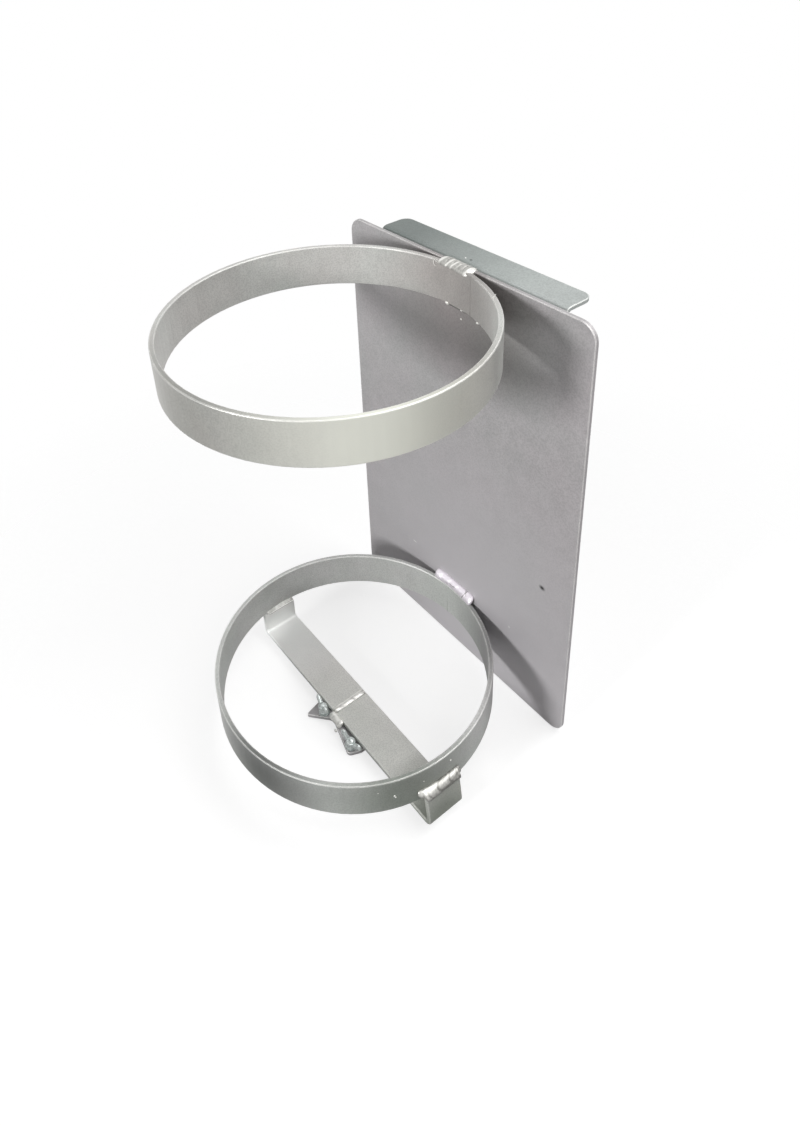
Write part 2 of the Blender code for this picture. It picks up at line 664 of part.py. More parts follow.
def foot_waist_weld():
    """Two-lobed fillet between the strap's front edge and the foot's waist."""
    span = (WAIST_WELD_START_X, WAIST_WELD_END_X)
    return bead("foot_waist_weld", span, (WAIST_WELD_PITCH, 0.35),
                lambda x: (x, STRAP_FRONT_Y - FIT_GAP, STRAP_UNDER_Z), (0, -1, 0), (0, 0, 1),
                lambda x: (WAIST_WELD_WIDTH, WAIST_WELD_HEIGHT), fillet_section, 0.0022)


def hook_stitch(side, sign):
    """Stitch of weld along the lower edge of the hook's hidden leg, on the back of the plate."""
    centre = HOOK_SHIFT_X + sign * (HOOK_WIDTH / 2 - HOOK_STITCH_INSET - HOOK_STITCH_LENGTH / 2)
    edge_z = PLATE_HEIGHT + HOOK_STEP_ABOVE_PLATE - HOOK_LEG_DROP - FIT_GAP
    span = (centre - HOOK_STITCH_LENGTH / 2, centre + HOOK_STITCH_LENGTH / 2)
    return bead(f"hook_stitch_{side}", span, (HOOK_STITCH_PITCH, 0.22),
                lambda x: (x, PLATE_BACK_Y + FIT_GAP, edge_z), (0, 1, 0), (0, 0, -1),
                lambda x: (HOOK_STITCH_WIDTH, HOOK_STITCH_HEIGHT), fillet_section)


def main():
    clear_scene()
    back_plate()
    top_hook()
    hoop("upper_hoop", UPPER_HOOP_Z, UPPER_SEAM_X)
    hoop("lower_hoop", LOWER_HOOP_Z, LOWER_SEAM_X)
    strap_left()
    strap_right()
    foot_plate()
    for side, x, turn in (("left", LEFT_STUD_X, LEFT_WING_TURN), ("right", RIGHT_STUD_X, RIGHT_WING_TURN)):
        stud(side, x)
        washer(side, x)
        wing_nut(side, x, turn)
    upper_weld_top()
    plate_fillet("upper_hoop_weld_under", (UNDER_WELD_START_X, UNDER_WELD_END_X), UPPER_HOOP_Z, -1,
                 UNDER_WELD_HEIGHT, UNDER_WELD_PITCH)
    plate_fillet("lower_hoop_weld_top", (LOWER_WELD_START_X, LOWER_WELD_END_X), LOWER_HOOP_Z + BAR_WIDTH, 1,
                 LOWER_WELD_HEIGHT, LOWER_WELD_PITCH)
    strap_ridge_weld()
    strap_left_weld()
    strap_right_weld()
    foot_waist_weld()
    hook_stitch("left", -1)
    hook_stitch("right", 1)


main()
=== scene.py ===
"""Gas cylinder bracket: finishes for its sheet, bar, welds and fasteners, and the studio round it."""

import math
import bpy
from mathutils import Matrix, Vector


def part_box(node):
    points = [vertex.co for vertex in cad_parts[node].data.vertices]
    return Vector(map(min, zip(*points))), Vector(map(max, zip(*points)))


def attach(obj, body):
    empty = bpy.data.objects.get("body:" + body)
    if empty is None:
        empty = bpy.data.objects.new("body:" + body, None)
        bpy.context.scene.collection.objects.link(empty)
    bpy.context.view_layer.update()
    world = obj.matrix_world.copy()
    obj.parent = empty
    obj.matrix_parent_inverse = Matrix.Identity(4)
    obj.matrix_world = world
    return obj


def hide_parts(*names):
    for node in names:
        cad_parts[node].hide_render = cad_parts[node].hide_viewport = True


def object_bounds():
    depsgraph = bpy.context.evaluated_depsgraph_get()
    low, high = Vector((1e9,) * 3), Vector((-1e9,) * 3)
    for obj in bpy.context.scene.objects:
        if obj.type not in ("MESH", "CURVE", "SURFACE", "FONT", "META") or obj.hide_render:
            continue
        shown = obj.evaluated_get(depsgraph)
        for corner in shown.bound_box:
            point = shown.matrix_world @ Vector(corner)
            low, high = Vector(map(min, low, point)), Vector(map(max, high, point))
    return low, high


bl_info = {
    "name": "Gas Cylinder Bracket",
    "version": (1, 0, 0),
    "blender": (4, 5, 0),
    "location": "3D View > Sidebar > Bracket",
    "description": "Finishes a welded steel cylinder bracket and sets up a plain studio round it",
    "category": "Object",
}

import bmesh
import bpy
import numpy as np
from bpy.props import FloatProperty, FloatVectorProperty, PointerProperty
from mathutils import Matrix, Vector, noise

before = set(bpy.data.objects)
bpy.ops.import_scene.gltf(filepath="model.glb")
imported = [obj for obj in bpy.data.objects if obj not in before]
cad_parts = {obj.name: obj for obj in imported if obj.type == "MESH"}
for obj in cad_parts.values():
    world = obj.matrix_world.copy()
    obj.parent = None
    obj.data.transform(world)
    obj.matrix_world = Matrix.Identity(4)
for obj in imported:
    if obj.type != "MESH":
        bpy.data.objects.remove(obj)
CAD_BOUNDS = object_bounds()
BODY = "root"
MM = 0.001

# Places read from the frame, so that a change in the solids carries over.
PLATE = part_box("back_plate")
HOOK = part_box("top_hook")
UPPER_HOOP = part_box("upper_hoop")
LOWER_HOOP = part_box("lower_hoop")
STRAP_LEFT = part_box("strap_left")
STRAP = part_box("strap_right")
TOP_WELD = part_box("upper_hoop_weld_top")
UNDER_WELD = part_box("upper_hoop_weld_under")
LOWER_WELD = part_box("lower_hoop_weld_top")
WAIST_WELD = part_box("foot_waist_weld")
PLATE_FRONT = PLATE[0].y
PLATE_BACK = PLATE[1].y
HOOP_RADIUS = (LOWER_HOOP[1].x - LOWER_HOOP[0].x) / 2
HOOP_CENTRE_Y = (LOWER_HOOP[1].y + LOWER_HOOP[0].y) / 2
BAR_THICKNESS = 3.0 * MM
HOOP_BORE = HOOP_RADIUS - BAR_THICKNESS
STRAP_TOP = STRAP[0].z + BAR_THICKNESS
# About half-way up each hoop's wall.
UPPER_WALL = UPPER_HOOP[0].z + 12 * MM
LOWER_WALL = LOWER_HOOP[0].z + 12 * MM
# Where the hoops' butt seams stand, seen from above.
UPPER_SEAM_X = 17.5 * MM
LOWER_SEAM_X = -4.5 * MM
SEAM_Y = 76 * MM
# The fasteners: M4 studs, and wing nuts as large as they look in the photograph.
STUD_RADIUS = 2.0 * MM
NUT_BASE_RADIUS = 3.5 * MM
WING_REACH = 8.7 * MM

# The studio, in metres. The key lamp's place was fitted to the shadows that the hoops cast on the plate.
KEY_LAMP_PLACE = (0.08, -1.53, 0.62)
KEY_LAMP_SIZE = 0.3
OVERHEAD_LAMP_PLACE = (0.42, 0.42, 1.15)
OVERHEAD_LAMP_SIZE = 1.0
FLOOR_HALF_SIDE = 0.8
# How far out the floor begins to fade into the white backdrop, and where it is gone.
FLOOR_FADE = (0.24, 0.46)
# The floor's matt share and its glow: first as metal mirrors it, then as the camera sees it.
FLOOR_MATT = (0.8, 0.62)
FLOOR_GLOW = (0.1, 0.705)

# The photograph's frame in pixels, and its camera, found by fitting the hoops and the plate to it.
PHOTO_WIDTH = 800
PHOTO_HEIGHT = 1126
OPTICAL_CENTRE = (327.1, 310.0)
FOCAL_LENGTH_PX = 859.6
CAMERA_PLACE = (0.3192, -0.2203, 0.5101)
CAMERA_AZIMUTH = math.radians(56.69)
CAMERA_ELEVATION = math.radians(28.43)
CAMERA_ROLL = math.radians(-4.62)


def linear(hex_colour):
    """A hex sRGB colour as the linear colour that a shader takes."""
    values = [int(hex_colour[i:i + 2], 16) / 255 for i in (0, 2, 4)]
    return [v / 12.92 if v <= 0.04045 else ((v + 0.055) / 1.055) ** 2.4 for v in values] + [1.0]


class BracketFinish(bpy.types.PropertyGroup):
    """Colours and grain of the finishes."""

    sheet_colour: FloatVectorProperty(
        name="Sheet", description="Satin coat on the plate and the foot",
        subtype="COLOR", size=4, min=0, max=1, default=linear("c1bfc0"))
    bar_colour: FloatVectorProperty(
        name="Bar", description="Satin coat on the hoops",
        subtype="COLOR", size=4, min=0, max=1, default=linear("dadad8"))
    # The strap's colour is the coat painted paler for the light on its upward faces.
    strap_painted_light_colour: FloatVectorProperty(
        name="Strap", description="Paler satin coat on the strap",
        subtype="COLOR", size=4, min=0, max=1, default=linear("edece9"))
    hook_colour: FloatVectorProperty(
        name="Hook", description="Cooler satin coat on the hook's sheet",
        subtype="COLOR", size=4, min=0, max=1, default=linear("c0c4c2"))
    # The weld colours are painted highlights on the beads' crests; the lilac cast is the weld's own.
    weld_highlight_colour: FloatVectorProperty(
        name="Weld", description="Crests of the weld beads",
        subtype="COLOR", size=4, min=0, max=1, default=linear("f2f1ec"))
    lilac_weld_highlight_colour: FloatVectorProperty(
        name="Lilac weld", description="Crests of the lower hoop's weld, which froze with a lilac cast",
        subtype="COLOR", size=4, min=0, max=1, default=linear("f6f0f7"))
    zinc_colour: FloatVectorProperty(
        name="Zinc", description="Blue bright zinc of the studs, washers and wing nuts",
        subtype="COLOR", size=4, min=0, max=1, default=linear("dfe6e4"))
    grain_size: FloatProperty(
        name="Grain", description="Size of the coat's fine grain, a little coarser than the real one",
        subtype="DISTANCE", unit="LENGTH", min=0.0001, max=0.005, default=0.8 * MM)
    # Pale edge lines: partly rubbed wear, partly a painted highlight along the edges.
    edge_wear_and_highlight: FloatProperty(
        name="Edge wear", description="How far the coat is rubbed bright along edges",
        subtype="DISTANCE", unit="LENGTH", min=0.0001, max=0.003, default=0.75 * MM)


class BracketWelds(bpy.types.PropertyGroup):
    """Sizes of the weld beads and their spatter."""

    ripple_depth: FloatProperty(
        name="Ripple depth",
        description="Depth of the valleys between ripples, as a share of the bead's height",
        min=0.0, max=1.0, default=0.16)
    bead_step: FloatProperty(
        name="Step", description="Spacing of the rows that a bead's mesh is made of",
        subtype="DISTANCE", unit="LENGTH", min=0.0001, max=0.002, default=0.3 * MM)
    droplet_size: FloatProperty(
        name="Spatter", description="Radius of a middling drop of spatter",
        subtype="DISTANCE", unit="LENGTH", min=0.0001, max=0.003, default=0.75 * MM)


class BracketFasteners(bpy.types.PropertyGroup):
    """Sizes of the threads and wings."""

    thread_pitch: FloatProperty(
        name="Thread pitch", description="Pitch of the M4 studs' thread",
        subtype="DISTANCE", unit="LENGTH", min=0.0002, max=0.002, default=0.7 * MM)
    thread_depth: FloatProperty(
        name="Thread depth", description="Depth of the studs' thread",
        subtype="DISTANCE", unit="LENGTH", min=0.0001, max=0.001, default=0.38 * MM)


class BracketStudio(bpy.types.PropertyGroup):
    """Light and backdrop."""

    lamp_power: FloatProperty(
        name="Key lamp", description="Power of the light in front",
        unit="POWER", min=0, max=200, default=15.5)
    overhead_power: FloatProperty(
        name="Overhead lamp", description="Power of the large soft light above",
        unit="POWER", min=0, max=200, default=10.5)
    sky_strength: FloatProperty(
        name="Sky", description="Even light from all round", min=0, max=2, default=0.13)
    floor_colour: FloatVectorProperty(
        name="Floor", description="Pale floor",
        subtype="COLOR", size=4, min=0, max=1, default=linear("d2d2d2"))


def add_node(tree, kind, settings=None, **links):
    """Adds a node. settings are properties or input values, links are the sockets that feed its inputs."""
    node = tree.nodes.new(kind)
    for key, value in (settings or {}).items():
        if isinstance(key, int) or key in node.inputs:
            node.inputs[key].default_value = value
        else:
            setattr(node, key, value)
    for key, source in links.items():
        place = int(key[1:]) if key[1:].isdigit() else key.replace("_", " ")
        tree.links.new(source, node.inputs[place])
    return node


def new_material(name):
    """An empty node material and its tree."""
    finish = bpy.data.materials.new(name)
    finish.use_nodes = True
    finish.node_tree.nodes.clear()
    return finish, finish.node_tree


def feed(tree, entry, value):
    """Gives an input a value, or links it to the socket that makes one."""
    if isinstance(value, bpy.types.NodeSocket):
        tree.links.new(value, entry)
    else:
        entry.default_value = value


def maths(tree, operation, first, second):
    """One maths step; each operand is a number or a socket."""
    node = add_node(tree, "ShaderNodeMath", {"operation": operation})
    feed(tree, node.inputs[0], first)
    feed(tree, node.inputs[1], second)
    return node.outputs[0]


def vector_maths(tree, operation, first, second=None):
    """One step of vector maths on a socket; the second operand is a vector or a socket."""
    node = add_node(tree, "ShaderNodeVectorMath", {"operation": operation}, i0=first)
    if second is not None:
        feed(tree, node.inputs[1], second)
    gives_number = operation in ("DISTANCE", "DOT_PRODUCT", "LENGTH")
    return node.outputs["Value" if gives_number else "Vector"]


def level(tree, source, low, high, to_low, to_high):
    """Maps a value from one range to another and stops at its ends."""
    node = add_node(tree, "ShaderNodeMapRange", {
        "From Min": low, "From Max": high, "To Min": to_low, "To Max": to_high}, Value=source)
    return node.outputs["Result"]


def mix_colour(tree, first, second, share, way="MIX"):
    """Mixes two colours, each a list or a socket; share is a number or a socket."""
    node = add_node(tree, "ShaderNodeMix", {"data_type": "RGBA", "blend_type": way})
    for index, value in ((0, share), (6, first), (7, second)):
        feed(tree, node.inputs[index], value)
    return node.outputs[2]


def grain(tree, place, size, detail=2.0):
    """Noise whose patches are about that size in metres."""
    settings = {"Scale": 1 / size, "Detail": detail, "Roughness": 0.55}
    return add_node(tree, "ShaderNodeTexNoise", settings, Vector=place).outputs["Fac"]


def closeness(tree, place, point, reach):
    """1 at a point, fading to 0 at its reach."""
    return level(tree, vector_maths(tree, "DISTANCE", place, point), reach * 0.2, reach, 1.0, 0.0)


def worn_and_highlit_edge(tree, width):
    """1 along the object's edges, 0 on its faces, and the rounded normal that goes with it."""
    rounded = add_node(tree, "ShaderNodeBevel", {"samples": 6, "Radius": width}).outputs[0]
    true = add_node(tree, "ShaderNodeNewGeometry").outputs["Normal"]
    agreement = vector_maths(tree, "DOT_PRODUCT", rounded, true)
    return level(tree, agreement, 0.995, 0.9, 0.0, 1.0), rounded


def metal_surface(tree, shade, metallic, rough, height, strength, depth, normal=None):
    """A metal's bump, shader and output. strength and depth are the bump's, metallic a number or a socket."""
    bump = add_node(tree, "ShaderNodeBump", {"Strength": strength, "Distance": depth}, Height=height)
    if normal is not None:
        tree.links.new(normal, bump.inputs["Normal"])
    shader = add_node(tree, "ShaderNodeBsdfPrincipled",
                      Base_Color=shade, Roughness=rough, Normal=bump.outputs[0])
    feed(tree, shader.inputs["Metallic"], metallic)
    add_node(tree, "ShaderNodeOutputMaterial", Surface=shader.outputs[0])


# Painted light and shade on the coat: each patch lightens or darkens it where light or shade falls, not where
# the coat itself differs.
# Each patch has its middle, its reach, its colour and how that mixes with the coat's.
# Upper hoop: painted shade on its back beside both welds and on the outer wall's left and right, and a
# painted highlight on the outer wall's front right.
UPPER_BAR_PAINTED_LIGHT_AND_SHADE = [
    ((4 * MM, 78 * MM, UPPER_HOOP[1].z - 12 * MM), 62 * MM, "d2cbcb", "MULTIPLY"),
    ((80 * MM, -42 * MM, UPPER_WALL), 72 * MM, "f4f5ea", "MIX"),
    ((10 * MM, -89 * MM, UPPER_WALL), 70 * MM, "c5c3c1", "MULTIPLY"),
    ((86 * MM, 8 * MM, UPPER_WALL), 50 * MM, "e0dedc", "MULTIPLY"),
    ((28 * MM, 82 * MM, UPPER_HOOP[0].z + 8 * MM), 30 * MM, "d6d3d3", "MULTIPLY"),
]
# Lower hoop: painted shade on the outer wall's front and front right, and at its back right.
LOWER_BAR_PAINTED_SHADE = [
    ((80 * MM, -38 * MM, LOWER_WALL), 52 * MM, "adb1ab", "MULTIPLY"),
    ((22 * MM, -87 * MM, LOWER_WALL), 44 * MM, "8d8e8d", "MULTIPLY"),
    ((14 * MM, -88 * MM, LOWER_WALL), 60 * MM, "cfcfcf", "MULTIPLY"),
    ((50 * MM, 68 * MM, LOWER_WALL), 54 * MM, "b1afb1", "MULTIPLY"),
]
# Strap: painted shade on the right leg and painted light on the left leg.
STRAP_PAINTED_LIGHT_AND_SHADE = [
    ((92 * MM, -20 * MM, 10 * MM), 40 * MM, "a9ada7", "MULTIPLY"),
    ((-84 * MM, -20 * MM, 8 * MM), 60 * MM, "fcfdfb", "MIX"),
]
# Plate: painted shade below its top edge, the painted shadow that the upper hoop casts right of its weld, and
# painted light over the lower plate.
SHEET_PAINTED_LIGHT_AND_SHADE = [
    ((-4 * MM, PLATE_FRONT, PLATE[1].z - 20 * MM), 70 * MM, "dbd6d4", "MULTIPLY"),
    ((36 * MM, PLATE_FRONT, PLATE[1].z - 40 * MM), 40 * MM, "dadbd8", "MULTIPLY"),
    ((20 * MM, PLATE_FRONT, 30 * MM), 170 * MM, "cdcacd", "MIX"),
]
# Hook: painted shade towards its left end.
HOOK_PAINTED_SHADE = [((HOOK[0].x, HOOK[1].y - 12 * MM, HOOK[1].z), 115 * MM, "adb1b0", "MULTIPLY")]
# Knocks and scratches in the coat: place, half-length along x and z, and colour.
COAT_MARKS = [
    ((75.0 * MM, PLATE_FRONT, 111.4 * MM), (2.8 * MM, 2.2 * MM), "262626"),
    ((-42.4 * MM, PLATE_FRONT, 62.6 * MM), (2.6 * MM, 0.7 * MM), "efefed"),
    ((50.4 * MM, PLATE_FRONT, 56.4 * MM), (1.0 * MM, 1.2 * MM), "efefed"),
    ((3.2 * MM, 85.9 * MM, HOOK[1].z), (1.2 * MM, 1.1 * MM), "3c4140"),
]
# The coat is whole over this reach round each butt seam, so the rubbed edges and their painted highlight stop
# short of it.
SEAM_REACH = 7 * MM
# How metallic the coat is as sprayed and where it is rubbed and painted with a highlight, and the welds and
# the zinc plate.
COAT_METALLIC = (0.28, 0.85)
WELD_METALLIC = 0.6
ZINC_METALLIC = 0.6


def coated_steel(name, colour, finish, roughness, warm, cool, painted_light_patches):
    """Satin zinc coat on mill steel.

    The eye sees soft grey metal without a mirror in it: a slow warm and cool mottling, a faint fine
    grain, patches of painted shade and painted light where the parts lie in shade or catch the light,
    and pale lines along the edges that are partly rubbed wear and partly a painted highlight.
    """
    material, tree = new_material(name)
    place = add_node(tree, "ShaderNodeTexCoord").outputs["Object"]
    cloud = grain(tree, place, 60 * MM, 2.0)
    mottle = grain(tree, place, 11 * MM, 3.0)
    speckle = grain(tree, place, finish.grain_size, 1.0)
    tint = mix_colour(tree, warm, cool, level(tree, cloud, 0.35, 0.65, 0.0, 1.0))
    shade = mix_colour(tree, list(colour), tint, 1.0, "MULTIPLY")
    for darker, pattern, low, high, share in (
            ("efefef", mottle, 0.35, 0.65, 0.5), ("e1e1e1", speckle, 0.35, 0.60, 0.7)):
        strength = level(tree, pattern, low, high, share, 0.0)
        shade = mix_colour(tree, shade, linear(darker), strength, "MULTIPLY")
    # Painted light and shade: each patch lightens or darkens the coat where light or shade falls.
    for point, reach, patch, way in painted_light_patches:
        shade = mix_colour(tree, shade, linear(patch), closeness(tree, place, point, reach), way)
    for point, (long, tall), mark in COAT_MARKS:
        offset = vector_maths(tree, "SUBTRACT", place, point)
        in_mark = vector_maths(tree, "MULTIPLY", offset, (1 / long, 1 / tall, 1 / tall))
        shade = mix_colour(tree, shade, linear(mark), closeness(tree, in_mark, (0, 0, 0), 1.0))
    edge, rounded = worn_and_highlit_edge(tree, finish.edge_wear_and_highlight)
    rubbed_and_highlit = maths(tree, "MULTIPLY", edge, level(tree, mottle, 0.3, 0.6, 0.75, 1.0))
    from_above = vector_maths(tree, "MULTIPLY", place, (1, 1, 0))
    for x in (UPPER_SEAM_X, LOWER_SEAM_X):
        whole = closeness(tree, from_above, (x, SEAM_Y, 0), SEAM_REACH)
        rubbed_and_highlit = maths(tree, "MULTIPLY", rubbed_and_highlit, level(tree, whole, 0.0, 0.3, 1.0, 0.0))
    # Painted highlight along the edges, partly real rubbed wear: lighter and more metallic there.
    shade = mix_colour(tree, shade, linear("fdfcf9"), rubbed_and_highlit)
    metallic = level(tree, rubbed_and_highlit, 0.0, 1.0, *COAT_METALLIC)
    rough = maths(tree, "ADD", level(tree, mottle, 0.3, 0.7, roughness - 0.03, roughness + 0.04),
                  level(tree, speckle, 0.3, 0.7, -0.03, 0.03))
    metal_surface(tree, shade, metallic, rough, speckle, strength=0.12, depth=0.1 * MM, normal=rounded)
    return material


def frozen_weld(name, crest):
    """Weld metal as it froze: painted white highlights, grey between, partly painted shade, broken by fine
    flecks.
    """
    material, tree = new_material(name)
    place = add_node(tree, "ShaderNodeTexCoord").outputs["Object"]
    painted_shine = add_node(tree, "ShaderNodeAttribute", {"attribute_name": "painted_shine"}).outputs["Fac"]
    fleck = grain(tree, place, 1.6 * MM, 2.0)
    share = maths(tree, "ADD", painted_shine, level(tree, fleck, 0.3, 0.7, -0.12, 0.12))
    # Painted light: the painted shine runs from grey, partly the metal's own and partly painted shade, to the
    # crest colour, a painted highlight.
    shade = mix_colour(tree, linear("7d7c78"), list(crest), level(tree, share, 0.1, 0.95, 0.0, 1.0))
    rough = level(tree, fleck, 0.3, 0.7, 0.28, 0.42)
    metal_surface(tree, shade, WELD_METALLIC, rough, fleck, strength=0.2, depth=0.15 * MM)
    return material


def bright_zinc(finish):
    """Blue bright zinc on small cast and turned pieces: cool, shiny, a little dappled by tumbling."""
    material, tree = new_material("Blue bright zinc plate")
    place = add_node(tree, "ShaderNodeTexCoord").outputs["Object"]
    dapple = grain(tree, place, 2.2 * MM, 2.0)
    bright = level(tree, dapple, 0.5, 0.7, 0.0, 0.6)
    shade = mix_colour(tree, list(finish.zinc_colour), linear("f2f6f4"), bright)
    shade = mix_colour(tree, shade, linear("8d9896"), level(tree, dapple, 0.45, 0.28, 0.0, 0.25))
    rough = level(tree, dapple, 0.3, 0.7, 0.24, 0.34)
    metal_surface(tree, shade, ZINC_METALLIC, rough, dapple, strength=0.05, depth=0.1 * MM)
    return material


def finish_node(name, material):
    """Puts a material into a solid's slots."""
    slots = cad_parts[name].material_slots
    if not slots:
        raise RuntimeError(f"{name} has no material slot")
    for place in slots:
        place.material = material


def add_piece(name, bm, material, sharp_angle=180):
    """Makes a mesh piece that belongs to the bracket."""
    bmesh.ops.recalc_face_normals(bm, faces=bm.faces)
    mesh = bpy.data.meshes.new(name)
    bm.to_mesh(mesh)
    bm.free()
    mesh.shade_smooth()
    if sharp_angle < 180:
        mesh.set_sharp_from_angle(angle=math.radians(sharp_angle))
    mesh.materials.append(material)
    piece = bpy.data.objects.new(name, mesh)
    bpy.context.scene.collection.objects.link(piece)
    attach(piece, BODY)
    return piece


def wander(value, seed):
    """Smooth noise between about -1 and 1."""
    return noise.noise(Vector((value, seed * 7.31, seed * 1.7)))


def bump_at(value, middle, reach):
    """1 at the middle, falling smoothly to 0 one reach away."""
    gap = abs(value - middle) / reach
    return 0.0 if gap >= 1 else (1 - gap * gap) ** 2


def ripple_height(phase):
    """Height of one ripple between 0 and 1: it climbs slowly and drops off at its leading edge."""
    crest = 0.78
    share = phase % 1
    return share / crest if share < crest else (1 - share) / (1 - crest)


def valley(phase, width):
    """1 in the valley between two ripples, falling to 0 that share of a ripple away from it."""
    return max(bump_at(phase % 1, 0.0, width), bump_at(phase % 1, 1.0, width))


def valley_lot(phase, seed):
    """What falls to the valley nearest to a phase, between about -1 and 1."""
    return wander(math.floor(phase + 0.5) * 1.71 + 0.5, seed + 13)


# The painted shines: painted highlights and painted shade on the weld metal. Each tells how white a point of
# a bead is, from 0 for dull to 1 for white, by its ripple phase, the bead's seed, side (-1 at one toe, 1 at
# the other), its place along the bead and its distance to the end.


def scaly(phase, seed, side, along, to_end):
    """Painted shine of dull scales: grey, with a thin painted highlight crescent on some of them and painted
    white highlights at the ends.
    """
    lot = wander(math.floor(phase) * 1.37 + 0.5, seed + 11)
    strength = min(1.0, max(0.1, 0.55 + 2.2 * lot))
    crescent = bump_at(phase % 1, 0.74, 0.2) * strength * bump_at(side, -0.15, 1.1)
    return max(0.34 + 0.08 * lot, crescent, 1.1 * bump_at(to_end, 0.0, 4.2 * MM))


def top_painted_shine(phase, seed, side, along, to_end):
    """Painted shine of the upper hoop's top weld: dull scales, painted highlight crescents in its left half
    and painted white highlights at the ends.
    """
    # Each crescent's place along the bead, its reach and its strength.
    crescents = (
        (1.8 * MM, 3.0 * MM, 1.2), (8.2 * MM, 1.8 * MM, 1.15), (11.8 * MM, 1.6 * MM, 1.1),
        (15.2 * MM, 1.1 * MM, 0.7), (18.4 * MM, 1.0 * MM, 0.6), (23.6 * MM, 3.4 * MM, 1.3))
    lean = along + (1.3 * side * side - 0.6) * MM
    front = bump_at(side, -0.3, 1.7)
    bright = max(strength * bump_at(lean, middle, reach) for middle, reach, strength in crescents)
    return max(0.45 - 0.25 * valley(phase, 0.12), bright * front)


def pale(phase, seed, side, along, to_end):
    """Painted shine of the lower hoop's weld: a white painted highlight, with painted shade in a wavy groove
    along it and in a forked one to the right.
    """
    wave = bump_at(side, -0.25 + 0.35 * wander(along * 400, seed), 0.16) * bump_at(along, 17 * MM, 11 * MM)
    stem = bump_at(along, 28.5 * MM + 1.2 * MM * side, 0.8 * MM)
    branch = bump_at(along, 31 * MM - 3.0 * MM * side, 0.8 * MM) if side > 0 else 0.0
    return 1.2 - 0.9 * max(wave, stem, branch)


def lobed(phase, seed, side, along, to_end):
    """Painted shine of the right leg's weld: painted highlights on its lobes, painted shade towards the leg
    and in uneven grooves.
    """
    groove = (0.5 + 0.7 * valley_lot(phase, seed)) * valley(phase, 0.16)
    patch = 0.5 + 0.5 * wander(along * 260 + 3 * side, seed + 2)
    return 0.7 - 0.45 * groove - 0.4 * max(0.0, side) - 0.6 * patch * min(1.0, along / (16 * MM))


def smooth(phase, seed, side, along, to_end):
    """Painted shine of a clean bead: a white painted highlight, cut by painted shade in thin grooves."""
    return 1.15 - (0.5 + 0.7 * valley_lot(phase, seed)) * valley(phase, 0.13)


def ridged(phase, seed, side, along, to_end):
    """Painted shine of a pressed ridge: two painted highlight lines along it."""
    line = max(bump_at(side, -0.45, 0.4), bump_at(side, 0.35, 0.35))
    return 0.62 + 0.38 * line + 0.15 * wander(along * 300, seed)


def dull(phase, seed, side, along, to_end):
    """Shine of a bead that lies in shade."""
    return 0.5 + 0.25 * wander(phase * 0.8, seed)


def under_painted_shine(phase, seed, side, along, to_end):
    """Painted shine of the upper hoop's under weld: painted shade, with three painted highlight spots."""
    spots = ((0.5 * MM, 2.6 * MM, 1.0), (12.6 * MM, 1.5 * MM, 0.8), (29.0 * MM, 1.8 * MM, 0.8))
    return max([-0.2] + [bright * bump_at(along, middle, reach) for middle, reach, bright in spots])


BEAD_COLUMNS = 14


def bead_rows(seat, length, crown, pitch, seed, depth, step, end_radius, painted_shine):
    """Rows of (point, painted shine) across a bead from one end to the other, each row ending with its root.

    seat gives, for a share of the length, the bead's two toes and the root between them.
    """
    end_width = 0.35  # width at the bead's very ends, as a share of its width in between
    lean = 0.42  # how far a ripple's middle runs ahead of its toes, in ripples
    fullness = 0.6  # power of the bead's round section: below 1 its sides are steep
    count = max(6, round(length / step))
    rows = []
    for i in range(count + 1):
        share = i / count
        travelled = share * length
        ripples = travelled / pitch
        to_end = min(travelled, length - travelled)
        rounding = math.sqrt(max(0.0, 1 - (1 - min(to_end / end_radius, 1)) ** 2))
        toe_a, toe_b, root = seat(share)
        middle = (toe_a + toe_b) / 2
        chord = toe_b - toe_a
        out = middle - root
        out = (out - chord * (out.dot(chord) / chord.length_squared)).normalized()
        narrowing = end_width + (1 - end_width) * rounding
        swell = 1 + 0.12 * wander(ripples * 0.7, seed)
        row = []
        for j in range(BEAD_COLUMNS + 1):
            side = 2 * j / BEAD_COLUMNS - 1
            dome = 1 - side * side
            phase = ripples + lean * dome + 0.35 * wander(ripples * 0.8, seed + 3)
            ripple = ripple_height(phase)
            reach = narrowing * (1 + 0.05 * ripple + 0.05 * wander(ripples * 1.3 + side, seed + 5))
            rise = crown * rounding * swell * dome ** fullness * (1 - depth * (1 - ripple))
            bright = painted_shine(phase, seed, side, travelled, to_end)
            row.append((middle + chord * (side * reach / 2) + out * rise, bright))
        row.append((middle + (root - middle) * max(rounding, 0.15), 0.0))
        rows.append(row)
    return rows


def join_rings(bm, rings):
    """Skins rings of vertices into one closed body."""
    around = len(rings[0])
    for low, high in zip(rings, rings[1:]):
        for j in range(around):
            k = (j + 1) % around
            bm.faces.new((low[j], low[k], high[k], high[j]))
    bm.faces.new(rings[0])
    bm.faces.new(rings[-1])


def bead_mesh(rows):
    """A closed body from rows of points, with each point's painted shine, its painted highlight or shade,
    kept as an attribute.
    """
    bm = bmesh.new()
    layer = bm.verts.layers.float.new("painted_shine")
    rings = []
    for row in rows:
        ring = []
        for point, bright in row:
            vert = bm.verts.new(point)
            vert[layer] = bright
            ring.append(vert)
        rings.append(ring)
    join_rings(bm, rings)
    return bm


def hoop_y(x, radius):
    """Where a hoop's wall of that radius stands behind its centre line, at an x."""
    return HOOP_CENTRE_Y + math.sqrt(radius * radius - x * x)


def between(start, end, share):
    """A value that share of the way from start to end."""
    return start + (end - start) * share


